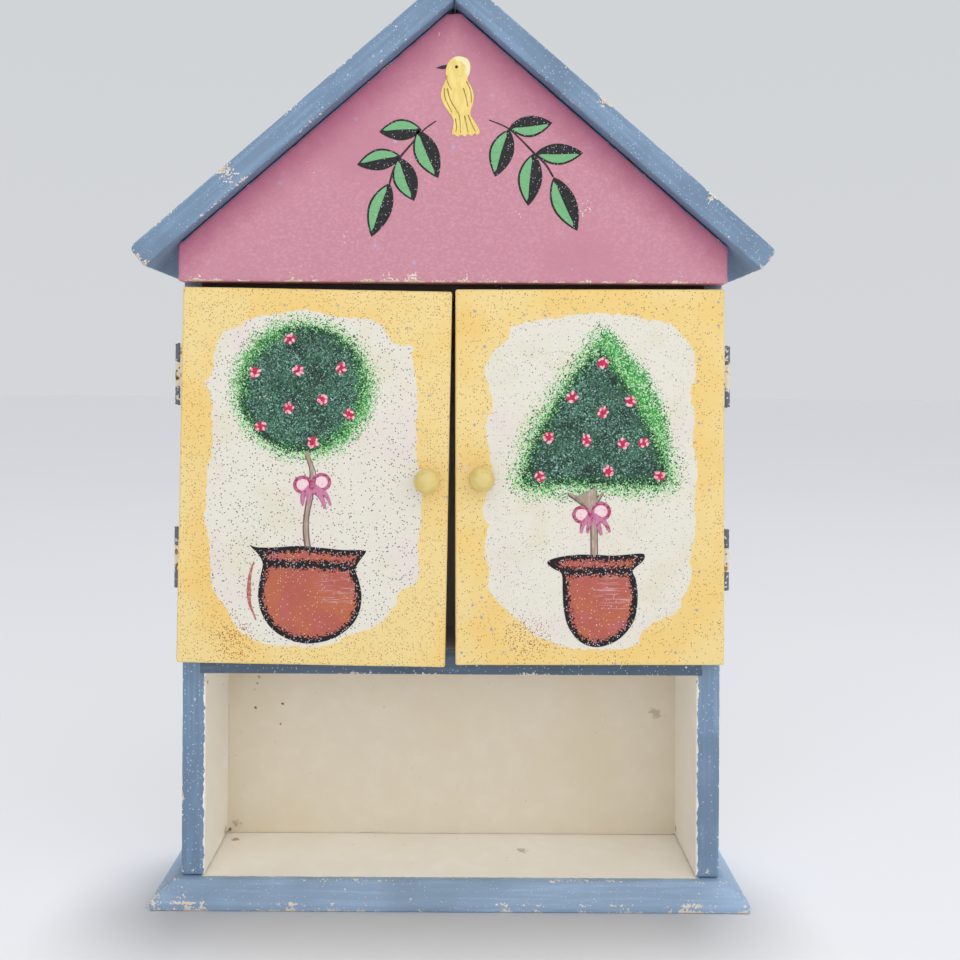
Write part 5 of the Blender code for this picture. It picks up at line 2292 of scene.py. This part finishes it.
        drops = (
            Specks(PINK_DROP, 2.2, 0.25, 0.3, 3.0),
            Specks(PINK_SMUDGE, 2.6, 0.34, 0.3, 4.0),
            Specks(PINK_SMUDGE, 8.0, 0.9, 0.2, 7.0),
            Specks(PINK_SPOT, 4.0, 0.22, 0.2, 5.0),
        )
        pink = Coat(PINK, PINK_LIGHT, PINK_DARK, (1.4, 1.4, 1.1), 0.0, 42.0, drops, 2.0)
        spots = [((-6.0, -24.0, 361.0), 5.0), ((112.0, -24.0, 260.0), 3.0)]
        spots += [((x, -24.0, 258.6), 6.0) for x in range(-106, 110, 10)]
        finish = BoardFinish(
            "gable_paint",
            pink,
            self.blue((20.0, 20.0, 2.0), 0.0, 4.0, BLUE_DARK),
            under_roof,
            Wear(spots=tuple(spots), width=1.1),
            roughness=0.5,
            shade=deeper,
        )
        HouseBoard("gable_front", "gable_board", "pink_paint", finish, pitch=2.0 * MM).build()
        canvas = Canvas("cabinet", "pink_paint", low.y + 0.06 * MM, (0.0, 0.0))
        Bird().build(canvas)
        LEFT_SPRIG.build(canvas)
        RIGHT_SPRIG.build(canvas)

    def build_roof(self) -> None:
        """Build the two roof boards, most worn at the eaves and along the ridge."""
        for side in Side:
            hand = side.value
            spots = [
                ((hand * 128.5, -31.0, 268.5), 5.0),
                ((hand * 125.0, -31.0, 264.5), 4.0),
                ((hand * 8.0, -31.0, 378.0), 5.0),
            ]
            if side is Side.LEFT:
                spots += [((-24.0, -31.0, 361.0), 5.0), ((-92.0, -31.0, 304.0), 7.0)]
            else:
                spots += [((60.0, -31.0, 331.0), 5.0), ((104.0, -31.0, 292.0), 6.0)]
            coat = self.blue((34.0, 34.0, 1.8), hand * ROOF_PITCH, 6.0 + hand)
            finish = BoardFinish(
                f"roof_paint_{side.label}", coat, wear=Wear(spots=tuple(spots), amount=0.17)
            )
            node = f"roof_board_{side.label}"
            RoofBoard(
                node, f"roof_plank_{side.label}", "blue_paint", finish, pitch=2.4 * MM, side=side
            ).build()

    def build(self) -> None:
        """Build every fixed board."""
        self.build_sides()
        self.build_base()
        self.build_shelves()
        self.build_back()
        self.build_gable()
        self.build_roof()


@dataclass
class Hardware:
    """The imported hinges, pins, screws, nails and brads, dressed as worn metal."""

    def build(self) -> None:
        """Give every packed metal node its material."""
        cabinet_brass = HardwareFinish(
            "hinge_brass_blue", BRASS, TARNISH, HINGE_BLUE, 0.66
        ).material()
        door_brass = HardwareFinish(
            "hinge_brass_cream", BRASS, TARNISH, HINGE_CREAM, 0.58
        ).material()
        steel = HardwareFinish("fastener_steel", STEEL, RUST).material()
        brass = HardwareFinish("pin_brass", BRASS, TARNISH, PIN_PAINT, 0.38).material()
        for name, node in sorted(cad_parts.items()):
            if node.hide_render:
                continue
            dress = steel
            if "cabinet_leaf" in name:
                dress = cabinet_brass
            elif "door_leaf" in name:
                dress = door_brass
            elif "pin" in name or name.startswith("hinge"):
                dress = brass
            node.data.materials.clear()
            node.data.materials.append(dress)
            LOG.info("%s: packed node dressed as %s", name, dress.name)


@dataclass
class Studio:
    """A pale floor, soft light and the camera."""

    lens: float = 41.25
    eye: Triple = (0.004, -0.476, 0.2138)
    roll: float = math.radians(-0.3)
    shift: Point = (0.0186, -0.0917)
    floor_size: float = 80.0
    overhead_strength: float = 2.35
    overhead_spread: float = math.radians(13.0)
    front_power: float = 23.0

    def build(self) -> None:
        """Set the floor, the lights, the world and the camera."""
        self.lay_floor()
        self.overhead((0.03, 0.1, 1.0))
        self.front((0.35, -1.2, 1.15), (0.0, 0.0, 0.18), (3.4, 2.0))
        self.set_world()
        self.set_camera()

    def lay_floor(self) -> None:
        """Lay the pale floor."""
        shape = bmesh.new()
        bmesh.ops.create_grid(shape, x_segments=2, y_segments=2, size=self.floor_size / 2)
        mesh = bpy.data.meshes.new("studio_floor")
        shape.to_mesh(mesh)
        shape.free()
        graph = Graph("floor_paper")
        tone = graph.noise(400.0, 1.0, 2.0)
        colour = graph.mix(tone, FLOOR_GREY, FLOOR_LIGHT)
        mesh.materials.append(graph.finish(colour, 0.85))
        floor = bpy.data.objects.new("studio_floor", mesh)
        bpy.context.scene.collection.objects.link(floor)

    def overhead(self, towards: Triple) -> None:
        """Light the floor evenly from overhead.

        Args:
            towards: Direction in which the light lies.
        """
        lamp = bpy.data.lights.new("overhead_light", "SUN")
        lamp.energy = self.overhead_strength
        lamp.angle = self.overhead_spread
        holder = bpy.data.objects.new("overhead_light", lamp)
        holder.rotation_euler = Vector(towards).to_track_quat("Z", "Y").to_euler()
        bpy.context.scene.collection.objects.link(holder)

    def front(self, place: Triple, target: Triple, size: Point) -> None:
        """Hang a large soft light in front.

        Args:
            place: Where it hangs.
            target: What it points at.
            size: Its width and height.
        """
        lamp = bpy.data.lights.new("front_light", "AREA")
        lamp.shape = "RECTANGLE"
        lamp.size, lamp.size_y = size
        lamp.energy = self.front_power
        holder = bpy.data.objects.new("front_light", lamp)
        holder.location = place
        holder.rotation_euler = (Vector(target) - Vector(place)).to_track_quat("-Z", "Y").to_euler()
        bpy.context.scene.collection.objects.link(holder)

    def set_world(self) -> None:
        """Give the surroundings an even pale tone, darker overhead."""
        world = bpy.data.worlds.new("studio_surroundings")
        world.use_nodes = True
        tree = world.node_tree
        tree.nodes.clear()
        output = tree.nodes.new("ShaderNodeOutputWorld")
        backdrop = tree.nodes.new("ShaderNodeBackground")
        ramp = tree.nodes.new("ShaderNodeValToRGB")
        split = tree.nodes.new("ShaderNodeSeparateXYZ")
        place = tree.nodes.new("ShaderNodeTexCoord")
        stops = ((0.0, HORIZON), (0.34, UPPER_AIR), (0.52, OVERHEAD))
        ramp.color_ramp.elements.new(0.3)
        for element, (spot, colour) in zip(ramp.color_ramp.elements, stops):
            element.position = spot
            element.color = colour
        tree.links.new(place.outputs["Generated"], split.inputs["Vector"])
        tree.links.new(split.outputs["Z"], ramp.inputs["Fac"])
        tree.links.new(ramp.outputs["Color"], backdrop.inputs["Color"])
        tree.links.new(backdrop.outputs["Background"], output.inputs["Surface"])
        backdrop.inputs["Strength"].default_value = 1.0
        bpy.context.scene.world = world
        bpy.context.scene.view_settings.view_transform = "Standard"

    def set_camera(self) -> None:
        """Place the camera in front of the doors."""
        lens = bpy.data.cameras.new("camera")
        lens.lens = self.lens
        lens.sensor_width = 36.0
        lens.shift_x, lens.shift_y = self.shift
        lens.clip_start = 0.01
        camera = bpy.data.objects.new("camera", lens)
        camera.location = self.eye
        camera.rotation_euler = (math.pi / 2, self.roll, 0.0)
        bpy.context.scene.collection.objects.link(camera)
        bpy.context.scene.camera = camera


def main() -> None:
    """Build the whole scene."""
    logging.basicConfig(level=logging.INFO, format="%(message)s")
    Carcass().build()
    Doors().build()
    Hardware().build()
    Studio().build()


if __name__ == "__main__":
    main()
